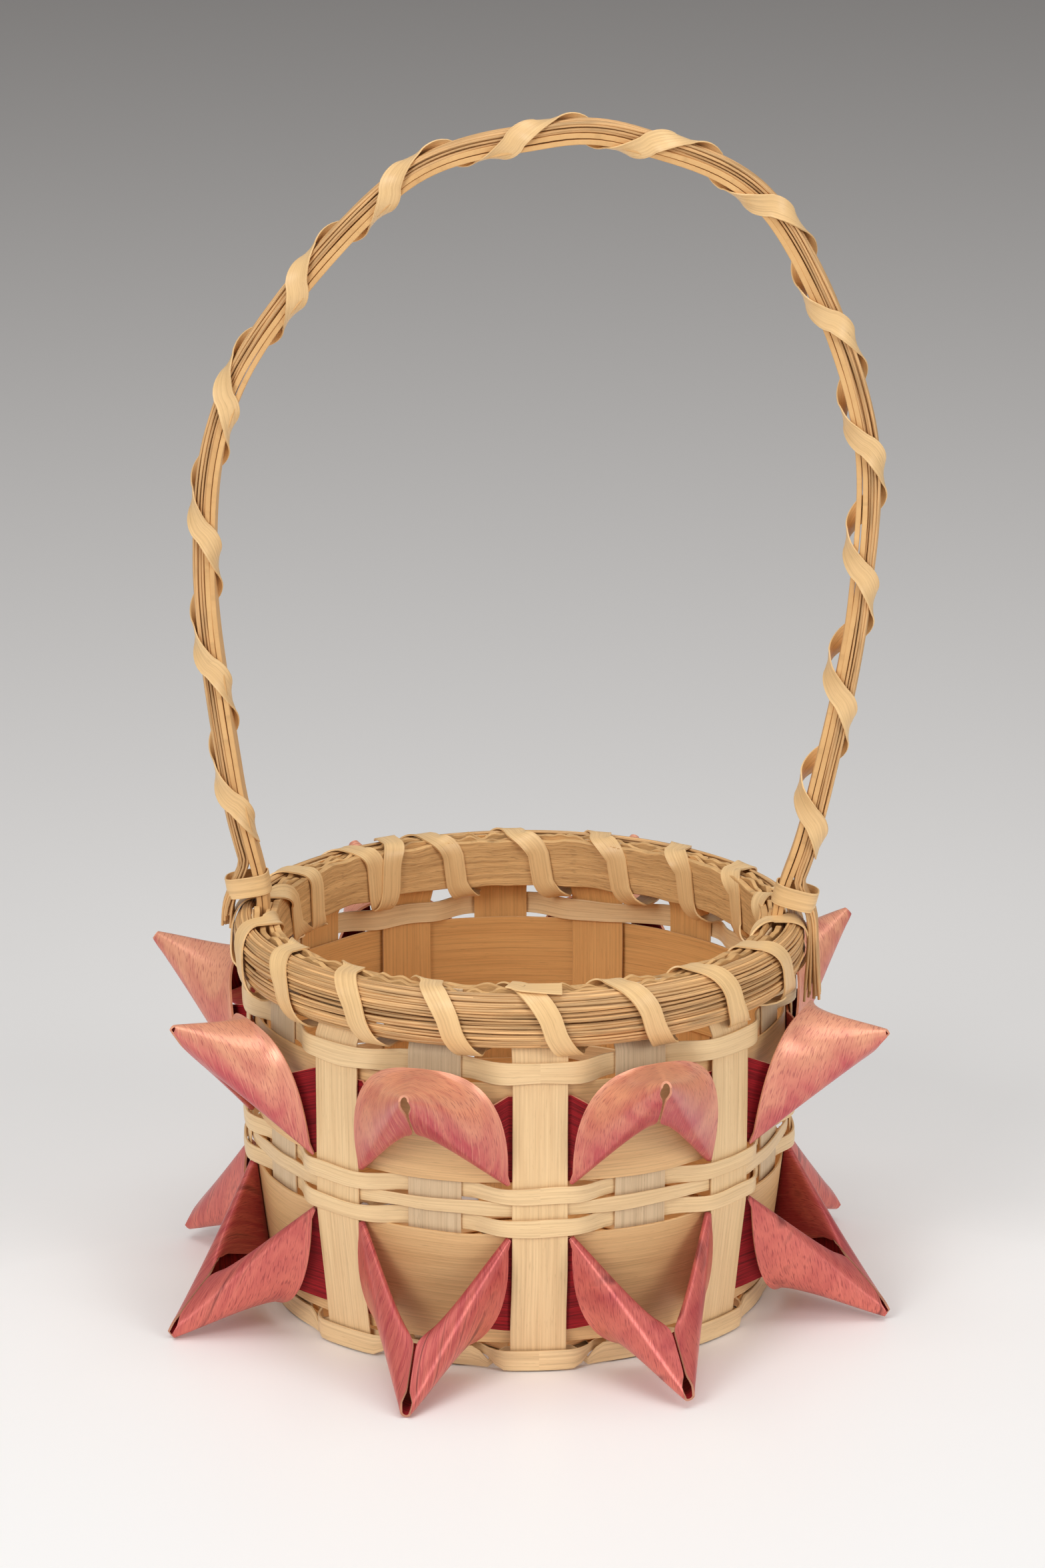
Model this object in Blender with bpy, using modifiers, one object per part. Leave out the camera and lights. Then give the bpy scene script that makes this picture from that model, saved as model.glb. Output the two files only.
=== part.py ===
"""Small round splint basket with a tall hooped handle and two rows of curled splints.

Sixteen uprights, made by eight long splints that cross under the base, are held by thin and
wide weavers, a twined foot, and a rim of an ash hoop and a sweetgrass bundle lashed together.
Each row of curls is one dyed splint, folded out to a point between every pair of outer uprights.
Lengths are in millimetres until points() turns them into metres. Angles start at the front
(-Y) and grow towards +X.
"""

import math

import bpy
import numpy as np
from mathutils import Vector

MM = 0.001

# Body
BODY_RADIUS = 51.5
FOOT_RADIUS = 48.5
RIM_RADIUS = 50.3
FOOT_TOP = 4.5
WAIST_BOTTOM = 27.7
WAIST_TOP = 62.1
RIM_BOTTOM = 64.5
RIM_TOP = 75.0
UPRIGHTS = 16
UPRIGHT_STEP = 360 / UPRIGHTS
UPRIGHT_WIDTH = 10.4
SPLINT = 0.45
LAYER = 0.7

# Rows, each as its lowest and highest level
LOWER_WIDE = (5.2, 27.7)
LOWER_DYED = (8.0, 27.1)
MID_ROWS = ((28.0, 31.2), (31.45, 34.1), (34.35, 37.5))
UPPER_WIDE = (37.8, 57.4)
UPPER_DYED = (38.3, 55.0)
TOP_ROW = (57.7, 61.9)

# Layers of the wall, from the middle of the wall outwards
OUTER_UPRIGHT = LAYER
INNER_UPRIGHT = -2 * LAYER
WIDE_LAYER = -LAYER

# Base
BASE_LEVEL = 0.825
BASE_RADIUS = 43.5
BASE_PITCH = 0.62
BASE_SPLINT = 0.4
WAIST_WIDTH = 3.2
WAIST_RATIO = 0.26
CROSSING_RADIUS = 8.8
RAMP_RADIUS = 15.0
FLOOR_RADII = (24.0, 34.0)
BASE_ROUNDS = (19.0, 25.0, 31.0, 37.0)
ROUND_WIDTH = 4.6
ROUND_LIFT = 0.65
ROUND_SPLINT = 0.35
FOOT_INSET = 1.1

# How flat a weaver lies against each upright: 1 is a plain wave
ROUND_FLAT = 2.1
FOOT_FLAT = 1.7
THIN_FLAT = 1.5

# Curls
CURL_HALF_SPAN = 14.2
ROLL_AT_WALL = 0.45
ROLL_AT_TIP = 1.3
ROLL_SLANT = 6.5
TIP_HALF_WIDTH = 1.4
ARCH_SQUARENESS = 0.62
ARCH_BULGE = 0.06
ARCH_CLEARANCE = 1.2
UPPER_TIP = (74.0, 61.5)
LOWER_TIP = (75.0, 0.5)
UPPER_ARCH = (22.7, 4.0)
LOWER_ARCH = (-21.5, 4.0)

# Rim
HOOP = (-4.05, -2.75)
HOOP_LEVELS = (65.2, 74.8)
BUNDLE_DEPTH = (1.2, 4.4)
LASHING_TURNS = 18
LASHING_WIDTH = 4.2
LASHING_SPLINT = 0.35
LASHING_PASS = 2.7
LASHING_BOX = (-4.5, 4.85, 62.9, 75.45)
LASHING_CHAMFERS = (1.9, 0.4)

# Handle
HANDLE_TURN = -8.5
HANDLE_PATH = ((-50.3, 66.0), (-50.3, 73.0), (-50.9, 80.0), (-55.2, 100.0), (-59.6, 143.0),
               (-52.8, 178.4), (-23.0, 214.8), (4.0, 224.4), (23.0, 223.6), (47.0, 211.2), (63.9, 173.0),
               (64.0, 137.0), (56.1, 95.2), (51.6, 80.0), (50.3, 73.0), (50.3, 66.0))
HANDLE_SAMPLES = 4
STRIP_WIDTH = 4.6
STRIP_THICKNESS = 1.0
INNER_STRIP = -1.75
OUTER_STRIP = -0.65
GRASS_OFFSET = 1.15
GRASS_RADIUS = 1.1
GRASS_SPREAD = 1.8
TAIL_START = 84.0
TAIL = ((3.6, 81.5), (5.0, 78.6), (6.2, 75.0), (6.2, RIM_BOTTOM))
WRAP_TURNS = 16
WRAP_WIDTH = 4.2
WRAP_SPLINT = 0.3
WRAP_HALF = (2.95, 2.95)
WRAP_START = 87.6
BINDING_LEVELS = (76.6, 80.6)
BINDING_HALF = (5.6, 3.4)
BINDING_SHIFT = 2.1


def direction(angle):
    """Horizontal unit vector at an angle in degrees from the front."""
    a = math.radians(angle)
    return Vector((math.sin(a), -math.cos(a), 0))


def lerp(a, b, t):
    return a + (b - a) * t


def wall_radius(z):
    """Radius of the middle of the wall: a cone at the foot, a cylinder, and a drawn-in rim."""
    levels = (FOOT_TOP, WAIST_BOTTOM, WAIST_TOP, RIM_BOTTOM)
    radii = (FOOT_RADIUS, BODY_RADIUS, BODY_RADIUS, RIM_RADIUS)
    return float(np.interp(z, levels, radii))


def wall_point(angle, offset, z):
    """Point at an angle and height, moved outwards from the middle of the wall."""
    point = direction(angle) * (wall_radius(z) + offset)
    point.z = z
    return point


def wave(angle, flat):
    """Over (+1) at outer uprights and under (-1) at inner ones, flat where it meets each."""
    return max(-1.0, min(1.0, flat * math.cos(math.radians(angle * UPRIGHTS / 2))))


def weave_angles(flat, crossings=False):
    """Angles round the ring: the middle and both ends of each flat, and perhaps each crossing."""
    reach = math.degrees(math.acos(1 / flat)) * 2 / UPRIGHTS
    steps = (-reach, 0, reach, UPRIGHT_STEP / 2) if crossings else (-reach, 0, reach)
    return [i * UPRIGHT_STEP + step for i in range(UPRIGHTS) for step in steps]


def material(name, colour, roughness):
    made = bpy.data.materials.new(name)
    made.use_nodes = True
    shader = made.node_tree.nodes["Principled BSDF"]
    shader.inputs["Base Color"].default_value = (*colour, 1)
    shader.inputs["Roughness"].default_value = roughness
    return made


def place(name, data, colour, roughness=0.6):
    """Adds an object with a material of its own to the basket's collection."""
    made = bpy.data.objects.new(name, data)
    data.materials.append(material(name, colour, roughness))
    bpy.data.collections["basket"].objects.link(made)
    return made


def points(vectors):
    return [tuple(Vector(v) * MM) for v in vectors]


def ribbon(name, rows, thickness, colour, closed=False):
    """A splint: a surface through rows of points across its width, thickened both ways."""
    mesh = bpy.data.meshes.new(name)
    across = len(rows[0])
    count = len(rows)
    faces = []
    for i in range(count if closed else count - 1):
        for j in range(across - 1):
            a = i * across + j
            b = (i + 1) % count * across + j
            faces.append((a, b, b + 1, a + 1))
    mesh.from_pydata(points(p for row in rows for p in row), [], faces)
    mesh.shade_smooth()
    made = place(name, mesh, colour)
    solid = made.modifiers.new("thickness", "SOLIDIFY")
    solid.thickness = thickness * MM
    solid.offset = 0
    return made


def turned(name, profile, colour):
    """A ring turned from a closed outline of (radius, height), outer side first, downwards."""
    mesh = bpy.data.meshes.new(name)
    count = len(profile)
    edges = [(i, (i + 1) % count) for i in range(count)]
    mesh.from_pydata(points((r, 0, z) for r, z in profile), edges, [])
    made = place(name, mesh, colour)
    screw = made.modifiers.new("turn", "SCREW")
    screw.steps = 3 * UPRIGHTS
    screw.render_steps = 3 * UPRIGHTS
    screw.use_merge_vertices = True
    screw.merge_threshold = 0.00001
    made.rotation_euler.z = -math.pi / 2
    return made


def flat_outline(name, outlines, half_depth, colour):
    """A flat shape inside closed outlines, extruded both ways."""
    curve = bpy.data.curves.new(name, "CURVE")
    curve.dimensions = "2D"
    curve.fill_mode = "BOTH"
    curve.extrude = half_depth * MM
    curve.render_resolution_u = 0
    for outline in outlines:
        spline = curve.splines.new("POLY")
        spline.points.add(len(outline) - 1)
        for point, (x, y) in zip(spline.points, outline):
            point.co = (x * MM, y * MM, 0, 1)
        spline.use_cyclic_u = True
    return place(name, curve, colour)


def stake_width(radius):
    """Stakes are cut to a waist where they cross, and widen towards the wall."""
    return min(UPRIGHT_WIDTH, max(WAIST_WIDTH, WAIST_RATIO * radius))


def stake_profile(layer, offset):
    """Half of a stake from the middle of the base to the rim, as (radius, height)."""
    stacked = BASE_LEVEL + layer * BASE_PITCH
    profile = [(0, stacked), (CROSSING_RADIUS, stacked), (RAMP_RADIUS, BASE_LEVEL)]
    profile += [(radius, BASE_LEVEL) for radius in (*FLOOR_RADII, BASE_RADIUS - 2)]
    corner = FOOT_RADIUS + offset - BASE_RADIUS
    for turn in (0, 30, 60, 90):
        a = math.radians(turn)
        rise = (FOOT_TOP - BASE_LEVEL) * (1 - math.cos(a))
        profile.append((BASE_RADIUS + corner * math.sin(a), BASE_LEVEL + rise))
    profile += [(wall_radius(z) + offset, z) for z in (WAIST_BOTTOM, WAIST_TOP, RIM_BOTTOM, RIM_TOP - 0.4)]
    return profile


def stake(index, colour):
    """One long splint: up one side of the wall, across the base and up the other side."""
    profile = stake_profile(index, OUTER_UPRIGHT if index % 2 == 0 else INNER_UPRIGHT)
    signed = [(-radius, z) for radius, z in profile[:0:-1]] + profile
    rows = []
    for radius, z in signed:
        far = abs(radius)
        width = stake_width(far)
        row = []
        for across in (-width / 2, 0, width / 2):
            inward = far - math.sqrt(far * far - across * across) if far > width else 0
            row.append((across, -math.copysign(far - inward, radius), z))
        rows.append(row)
    made = ribbon(f"stake_splint_{index + 1}", rows, BASE_SPLINT, colour)
    made.rotation_euler.z = math.radians(index * UPRIGHT_STEP)
    return made


def base_round(index, radius, colour):
    """A flat round of the base, over and under the stakes."""
    side = 1 if index % 2 == 0 else -1
    rows = []
    for angle in weave_angles(ROUND_FLAT):
        z = BASE_LEVEL + side * ROUND_LIFT * wave(angle, ROUND_FLAT)
        rows.append([direction(angle) * r + Vector((0, 0, z))
                     for r in (radius - ROUND_WIDTH / 2, radius + ROUND_WIDTH / 2)])
    return ribbon(f"base_round_{index + 1}", rows, ROUND_SPLINT, colour, closed=True)


def foot_strand(name, side, colour):
    """One strand of the twined foot: a lobe outside every second upright, under the next."""
    outside = (0.5 + 1.5 * side) * LAYER
    inside = (-1.5 - 1.5 * side) * LAYER - FOOT_INSET
    crossing = (2.6, 4.2) if side > 0 else (0.3, 1.7)
    rows = []
    for angle in weave_angles(FOOT_FLAT, crossings=True):
        over = side * wave(angle, FOOT_FLAT)
        offset = lerp(-LAYER / 2, outside if over > 0 else inside, abs(over))
        resting = (0.3, 4.2) if over > 0 else (2.4, 4.2)
        low = lerp(crossing[0], resting[0], abs(over))
        high = lerp(crossing[1], resting[1], abs(over))
        radius = FOOT_RADIUS + offset
        rows.append([direction(angle) * radius + Vector((0, 0, z)) for z in (low, high)])
    return ribbon(name, rows, SPLINT, colour, closed=True)


def thin_weaver(name, levels, over_outer, colour):
    """A thin weaver: a waved ring, cut flat at its top and bottom."""
    if over_outer:
        outside, inside = OUTER_UPRIGHT + LAYER, INNER_UPRIGHT - LAYER
    else:
        outside, inside = OUTER_UPRIGHT - LAYER, INNER_UPRIGHT + LAYER
    middle = (levels[0] + levels[1]) / 2
    outlines = []
    for edge in (SPLINT / 2, -SPLINT / 2):
        outline = []
        for angle in weave_angles(THIN_FLAT):
            offset = lerp(inside, outside, (1 + wave(angle, THIN_FLAT)) / 2) + edge
            p = wall_point(angle, offset, middle)
            outline.append((p.x, p.y))
        outlines.append(outline)
    made = flat_outline(name, outlines, (levels[1] - levels[0]) / 2, colour)
    made.location.z = middle * MM
    return made


def wide_weaver(name, levels, colour):
    """A wide weaver: a plain ring between the outer and the inner uprights."""
    low, high = levels
    outside = [(wall_radius(z) + WIDE_LAYER + SPLINT / 2, z) for z in (high, low)]
    inside = [(wall_radius(z) + WIDE_LAYER - SPLINT / 2, z) for z in (low, high)]
    return turned(name, outside + inside, colour)


def arch_point(middle, levels, arch, turn):
    """Point of a curl's free edge, from the wall's corner (0) to the top of the arch (90)."""
    rise, lift = arch
    a = math.radians(turn)
    width = CURL_HALF_SPAN * max(0, math.cos(a)) ** ARCH_SQUARENESS * (1 + ARCH_BULGE * math.sin(2 * a))
    z = levels[0] + rise * math.sin(a)
    offset = ARCH_CLEARANCE + lift * math.sin(a) ** 0.8
    return wall_point(middle - math.degrees(width / BODY_RADIUS), offset, z)


def curl_rulings(levels, tip, arch, middle):
    """Lines across the dyed splint, from an outer upright to the middle of one curl.

    The splint leaves the wall at the upright's edge as a flat flap, rolls over along the line
    from the wall's corner to the tip, and comes back as half of a cone whose edge is an arch.
    Each line runs from the edge that makes the arch to the edge that gathers at the tip. That
    edge crosses the roll at a slant, so the far end of the roll is a long narrow loop.
    """
    near_z, far_z = levels
    up = math.copysign(1, arch[0])
    span = math.degrees(CURL_HALF_SPAN / BODY_RADIUS)
    tangent = Vector((-direction(middle).y, direction(middle).x, 0))
    edge_angle = middle - span
    rulings = [(wall_point(angle, 0, near_z), wall_point(angle, 0, far_z))
               for angle in (middle - UPRIGHT_STEP, edge_angle - 0.2)]
    corner = wall_point(edge_angle, 0.25, near_z)
    far_corner = wall_point(edge_angle, 0.25, far_z)

    crest = direction(middle) * tip[0] + Vector((0, 0, tip[1]))
    gather = crest - tangent * TIP_HALF_WIDTH - Vector((0, 0, up * TIP_HALF_WIDTH))
    normal = Vector((0, 0, 0))
    for _ in range(2):
        axis = gather - normal * 2 * ROLL_AT_TIP - corner
        length = axis.length
        axis.normalize()
        towards = far_corner - corner
        towards = (towards - axis * towards.dot(axis)).normalized()
        normal = axis.cross(towards).normalized()
        if normal.dot(direction(edge_angle)) < 0:
            normal = -normal

    hidden = corner + axis * (length - ROLL_SLANT)
    rulings += [(corner, far_corner.lerp(hidden, step)) for step in (0.1, 0.55, 1.0)]
    for turn in (60, 120, 180):
        a = math.radians(turn)
        shift = normal * (1 - math.cos(a)) - towards * math.sin(a)
        along = axis * (length - ROLL_SLANT * (1 - turn / 180))
        rulings.append((corner + shift * ROLL_AT_WALL, corner + along + shift * ROLL_AT_TIP))
    for turn in (22, 45, 67, 90):
        a = math.radians(turn)
        drop = up * TIP_HALF_WIDTH * (1 - math.sin(a))
        far = crest - tangent * TIP_HALF_WIDTH * math.cos(a) - Vector((0, 0, drop))
        rulings.append((arch_point(middle, levels, arch, turn), far))
    return rulings


def mirrored(ruling, middle):
    """The same line on the other side of a curl's middle."""
    tangent = Vector((-direction(middle).y, direction(middle).x, 0))
    return tuple(p - tangent * (2 * p.dot(tangent)) for p in ruling)


def curl_splint(name, levels, tip, arch, colour):
    """A dyed splint under the outer uprights, folded out to a point between each two."""
    rows = []
    for i in range(UPRIGHTS // 2):
        middle = (2 * i + 1) * UPRIGHT_STEP
        half = curl_rulings(levels, tip, arch, middle)
        other = [mirrored(ruling, middle) for ruling in reversed(half[1:-1])]
        rows += [(near, near.lerp(far, 0.5), far) for near, far in half + other]
    return ribbon(name, rows, SPLINT, colour, closed=True)


def rim_hoop(colour):
    low, high = HOOP_LEVELS
    inner, outer = (RIM_RADIUS + depth for depth in HOOP)
    return turned("inner_rim_hoop", [(outer, high), (outer, low), (inner, low), (inner, high)], colour)


def rim_bundle(colour):
    """Sweetgrass bundle round the outside of the rim, flat inside and round outside."""
    inner, outer = (RIM_RADIUS + depth for depth in BUNDLE_DEPTH)
    middle = (RIM_BOTTOM + RIM_TOP) / 2
    half = (RIM_TOP - RIM_BOTTOM) / 2
    profile = []
    for turn in (90, 54, 18, -18, -54, -90):
        a = math.radians(turn)
        profile.append((inner + (outer - inner) * math.cos(a) ** 0.7, middle + half * math.sin(a)))
    return turned("rim_sweetgrass_bundle", profile, colour)


def lashing_pass(angle):
    """The free place between two uprights nearest to an angle."""
    gap = (math.floor(angle / UPRIGHT_STEP) + 0.5) * UPRIGHT_STEP
    places = [max(g - LASHING_PASS, min(g + LASHING_PASS, angle))
              for g in (gap - UPRIGHT_STEP, gap, gap + UPRIGHT_STEP)]
    return min(places, key=lambda spot: abs(spot - angle))


def rim_lashing(colour):
    """Narrow splint wound round the rim; it passes under the bundle between the uprights."""
    inner, outer, low, high = LASHING_BOX
    c, d = LASHING_CHAMFERS
    section = ((outer - c, high), (outer, high - c), (outer, low + c), (outer - c, low),
               (inner + d, low), (inner, low + d), (inner, high - d), (inner + d, high))
    step = 360 / LASHING_TURNS
    first = 90 + HANDLE_TURN + step / 2
    rows = []
    for turn in range(LASHING_TURNS):
        top = first + turn * step
        bottom = lashing_pass(top + step / 2)
        for i, (depth, z) in enumerate(section):
            down = min(1, (i + 0.5) / 3.5)
            angle = lerp(top, bottom, down) if i < 4 else lerp(bottom, top + step, (i - 4) / 3.6)
            lean = 0.0 if i in (0, 3, 4, 7) else 0.4
            width = LASHING_WIDTH / RIM_RADIUS / 2
            row = []
            for side in (-1, 1):
                p = direction(angle + math.degrees(width) * side) * (RIM_RADIUS + depth)
                p.z = z + lean * side * (1 if i < 4 else -1)
                row.append(p)
            rows.append(row)
    return ribbon("rim_lashing", rows[:-1], LASHING_SPLINT, colour)


def smooth_path(corners, samples):
    """Points on a smooth curve through the corners."""
    ends = [corners[0], *corners, corners[-1]]
    path = []
    for a, b, c, d in zip(ends, ends[1:], ends[2:], ends[3:]):
        a, b, c, d = (np.array(p) for p in (a, b, c, d))
        for t in np.arange(samples) / samples:
            path.append(0.5 * (2 * b + (c - a) * t + (2 * a - 5 * b + 4 * c - d) * t * t
                               + (3 * b - 3 * c + d - a) * t ** 3))
    path.append(np.array(corners[-1]))
    return path


def outward_normals(path):
    """Unit normals of the handle's middle line, pointing away from the basket."""
    steps = np.gradient(np.array(path), axis=0)
    steps /= np.linalg.norm(steps, axis=1)[:, None]
    return [np.array((-y, x)) for x, y in steps]


def stand_up(made):
    """Turns a shape drawn flat into the handle's upright plane."""
    made.rotation_euler = (math.pi / 2, 0, math.radians(HANDLE_TURN))
    return made


def handle_strip(name, offset, colour):
    path = smooth_path(HANDLE_PATH, HANDLE_SAMPLES)
    sides = []
    for edge in (STRIP_THICKNESS / 2, -STRIP_THICKNESS / 2):
        sides.append([tuple(p + n * (offset + edge)) for p, n in zip(path, outward_normals(path))])
    return stand_up(flat_outline(name, [sides[0] + sides[1][::-1]], STRIP_WIDTH / 2, colour))


def handle_grass(colour):
    """Sweetgrass along the handle's outer side, with tails down the outside of the rim."""
    path = smooth_path(HANDLE_PATH, HANDLE_SAMPLES)
    line = []
    for p, n in zip(path, outward_normals(path)):
        if p[1] > TAIL_START:
            line.append(p + n * GRASS_OFFSET)
    for side in (-1, 1):
        tail = [(side * (RIM_RADIUS + out), z) for out, z in TAIL]
        if side < 0:
            line = [np.array(p) for p in reversed(tail)] + line
        else:
            line = line + [np.array(p) for p in tail]
    curve = bpy.data.curves.new("handle_sweetgrass", "CURVE")
    curve.dimensions = "3D"
    curve.bevel_depth = GRASS_RADIUS * MM
    curve.bevel_resolution = 1
    curve.use_fill_caps = True
    curve.render_resolution_u = 0
    spline = curve.splines.new("POLY")
    spline.points.add(len(line) - 1)
    for point, (x, z) in zip(spline.points, line):
        point.co = (x * MM, z * MM, 0, 1)
    made = stand_up(place("handle_sweetgrass", curve, colour))
    made.scale.z = GRASS_SPREAD
    return made


def handle_frames(start):
    """Points and normals of the part of the handle above a level, evenly spaced."""
    path = [p for p in smooth_path(HANDLE_PATH, 12) if p[1] > start]
    lengths = np.concatenate(([0], np.cumsum(np.linalg.norm(np.diff(path, axis=0), axis=1))))
    even = np.linspace(0, lengths[-1], WRAP_TURNS * 8 + 1)
    spaced = [np.array([np.interp(s, lengths, [p[k] for p in path]) for k in (0, 1)]) for s in even]
    return spaced, outward_normals(spaced)


def handle_point(flat, across):
    """A point of the handle's plane, moved across it, in the basket's frame."""
    a = math.radians(HANDLE_TURN)
    x = flat[0] * math.cos(a) - across * math.sin(a)
    y = flat[0] * math.sin(a) + across * math.cos(a)
    return Vector((x, y, flat[1]))


def handle_wrap(colour):
    """Narrow splint wound round the handle in an open spiral."""
    spaced, normals = handle_frames(WRAP_START)
    section = ((1, 0), (0.81, 0.74), (0, 1), (-0.9, 0.86), (-1, 0), (-0.9, -0.86), (0, -1), (0.81, -0.74))
    rows = []
    for i, (p, n) in enumerate(zip(spaced, normals)):
        out, across = section[i % 8]
        along = np.array((n[1], -n[0]))
        row = []
        for side in (-0.5, 0.5):
            flat = p + n * out * WRAP_HALF[0] + along * side * WRAP_WIDTH
            row.append(handle_point(flat, across * WRAP_HALF[1]))
        rows.append(row)
    return ribbon("handle_wrap", rows, WRAP_SPLINT, colour)


def handle_binding(name, side, colour):
    """A band round the strips and the sweetgrass's tail, just above the rim."""
    spaced, normals = handle_frames(BINDING_LEVELS[0] + 2)
    p, n = (spaced[0], normals[0]) if side < 0 else (spaced[-1], normals[-1])
    p = p + n * BINDING_SHIFT
    along = np.array((n[1], -n[0]))
    height = BINDING_LEVELS[1] - BINDING_LEVELS[0]
    rows = []
    for turn in range(0, 360, 30):
        a = math.radians(turn)
        out = math.copysign(abs(math.cos(a)) ** 0.6, math.cos(a)) * BINDING_HALF[0]
        across = math.copysign(abs(math.sin(a)) ** 0.6, math.sin(a)) * BINDING_HALF[1]
        rows.append([handle_point(p + n * out + along * (s * height), across) for s in (-0.5, 0.5)])
    return ribbon(name, rows, WRAP_SPLINT, colour, closed=True)


def main():
    for old in list(bpy.data.objects):
        bpy.data.objects.remove(old)
    bpy.context.scene.collection.children.link(bpy.data.collections.new("basket"))

    pale, grey, tan = (0.78, 0.63, 0.42), (0.66, 0.55, 0.4), (0.7, 0.5, 0.26)
    straw, honey, salmon, red = (0.5, 0.37, 0.2), (0.75, 0.53, 0.29), (0.77, 0.3, 0.2), (0.6, 0.12, 0.12)
    for index in range(UPRIGHTS // 2):
        stake(index, pale if index % 2 == 0 else grey)
    for index, radius in enumerate(BASE_ROUNDS):
        base_round(index, radius, tan)
    foot_strand("foot_twining_outer_strand", 1, pale)
    foot_strand("foot_twining_inner_strand", -1, pale)
    wide_weaver("lower_wide_weaver", LOWER_WIDE, tan)
    curl_splint("lower_curl_splint", LOWER_DYED[::-1], LOWER_TIP, LOWER_ARCH, red)
    for index, levels in enumerate(MID_ROWS):
        thin_weaver(f"mid_weaver_{index + 1}", levels, index != 1, honey)
    wide_weaver("upper_wide_weaver", UPPER_WIDE, tan)
    curl_splint("upper_curl_splint", UPPER_DYED, UPPER_TIP, UPPER_ARCH, salmon)
    thin_weaver("top_weaver", TOP_ROW, True, honey)
    rim_hoop(tan)
    rim_bundle(straw)
    rim_lashing(honey)
    handle_strip("handle_inner_strip", INNER_STRIP, tan)
    handle_strip("handle_outer_strip", OUTER_STRIP, tan)
    handle_grass(straw)
    handle_wrap(honey)
    handle_binding("handle_binding_left", -1, honey)
    handle_binding("handle_binding_right", 1, honey)


main()
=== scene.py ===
"""Looks of a small round ash-splint basket with a hooped handle and two rows of curled splints.

Every splint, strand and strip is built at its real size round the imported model. Lengths in the
code are in millimetres until a mesh is made; angles start at the front (-Y) and grow towards +X.
"""

import math

import bpy
import numpy as np
from bpy.props import FloatProperty, FloatVectorProperty, IntProperty, PointerProperty
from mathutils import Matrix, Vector, noise


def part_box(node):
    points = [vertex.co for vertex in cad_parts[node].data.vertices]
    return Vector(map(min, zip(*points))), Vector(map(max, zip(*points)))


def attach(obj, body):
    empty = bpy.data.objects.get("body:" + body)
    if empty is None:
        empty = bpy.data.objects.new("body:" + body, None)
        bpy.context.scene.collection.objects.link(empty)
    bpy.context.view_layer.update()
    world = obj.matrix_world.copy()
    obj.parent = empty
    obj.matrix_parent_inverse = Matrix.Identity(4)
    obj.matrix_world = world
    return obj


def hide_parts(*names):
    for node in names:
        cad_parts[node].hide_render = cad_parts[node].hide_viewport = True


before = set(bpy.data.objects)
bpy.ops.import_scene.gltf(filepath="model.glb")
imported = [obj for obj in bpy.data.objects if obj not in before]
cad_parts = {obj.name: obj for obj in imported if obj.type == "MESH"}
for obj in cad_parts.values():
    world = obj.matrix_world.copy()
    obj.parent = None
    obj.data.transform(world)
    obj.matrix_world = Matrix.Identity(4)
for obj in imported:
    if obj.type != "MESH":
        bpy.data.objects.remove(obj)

bl_info = {
    "name": "Splint Basket with Curls",
    "version": (1, 0, 0),
    "blender": (4, 5, 0),
    "location": "3D View > Sidebar > Basket",
    "description": "Builds a round ash-splint basket with curls, a lashed rim and a wrapped handle",
    "category": "Add Mesh",
}

MM = 0.001


# Places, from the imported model

def reach(node):
    """Lowest and highest corner of a CAD node, in millimetres."""
    low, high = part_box(node)
    return low / MM, high / MM


def levels(node):
    """Lowest and highest level of a CAD node, in millimetres."""
    low, high = reach(node)
    return low.z, high.z


SPLINT = 0.45
LAYER = 0.7
UPRIGHTS = 16
UPRIGHT_STEP = 360 / UPRIGHTS
OUTER_UPRIGHT = LAYER
INNER_UPRIGHT = -2 * LAYER
WIDE_LAYER = -LAYER

LOWER_WIDE = levels("lower_wide_weaver")
UPPER_WIDE = levels("upper_wide_weaver")
MID_ROWS = [levels(f"mid_weaver_{row}") for row in (1, 2, 3)]
TOP_ROW = levels("top_weaver")
HOOP_LEVELS = levels("inner_rim_hoop")
BUNDLE_LEVELS = levels("rim_sweetgrass_bundle")
LASHING_LEVELS = levels("rim_lashing")

WALL_RADIUS = reach("upper_wide_weaver")[1].x + LAYER - SPLINT / 2
FOOT_RADIUS = reach("foot_twining_outer_strand")[1].x - 2 * LAYER - SPLINT / 2
FOOT_TOP = levels("foot_twining_outer_strand")[1] + 0.3
HOOP_OUTSIDE = reach("inner_rim_hoop")[1].x
HOOP_THICKNESS = 1.3
RIM_RADIUS = HOOP_OUTSIDE + 2.75
RIM_BOTTOM, RIM_TOP = BUNDLE_LEVELS


def hex_colour(code):
    """Linear red, green and blue of an sRGB hex colour."""
    parts = [int(code[i:i + 2], 16) / 255 for i in (1, 3, 5)]
    return tuple(c / 12.92 if c <= 0.04045 else ((c + 0.055) / 1.055) ** 2.4 for c in parts)


def length_property(name, description, millimetres):
    return FloatProperty(name=name, description=description, default=millimetres * MM, unit="LENGTH", min=0)


def colour_property(name, description, code):
    return FloatVectorProperty(name=name, description=description, subtype="COLOR", size=3, min=0, max=1,
                               default=hex_colour(code))


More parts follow.
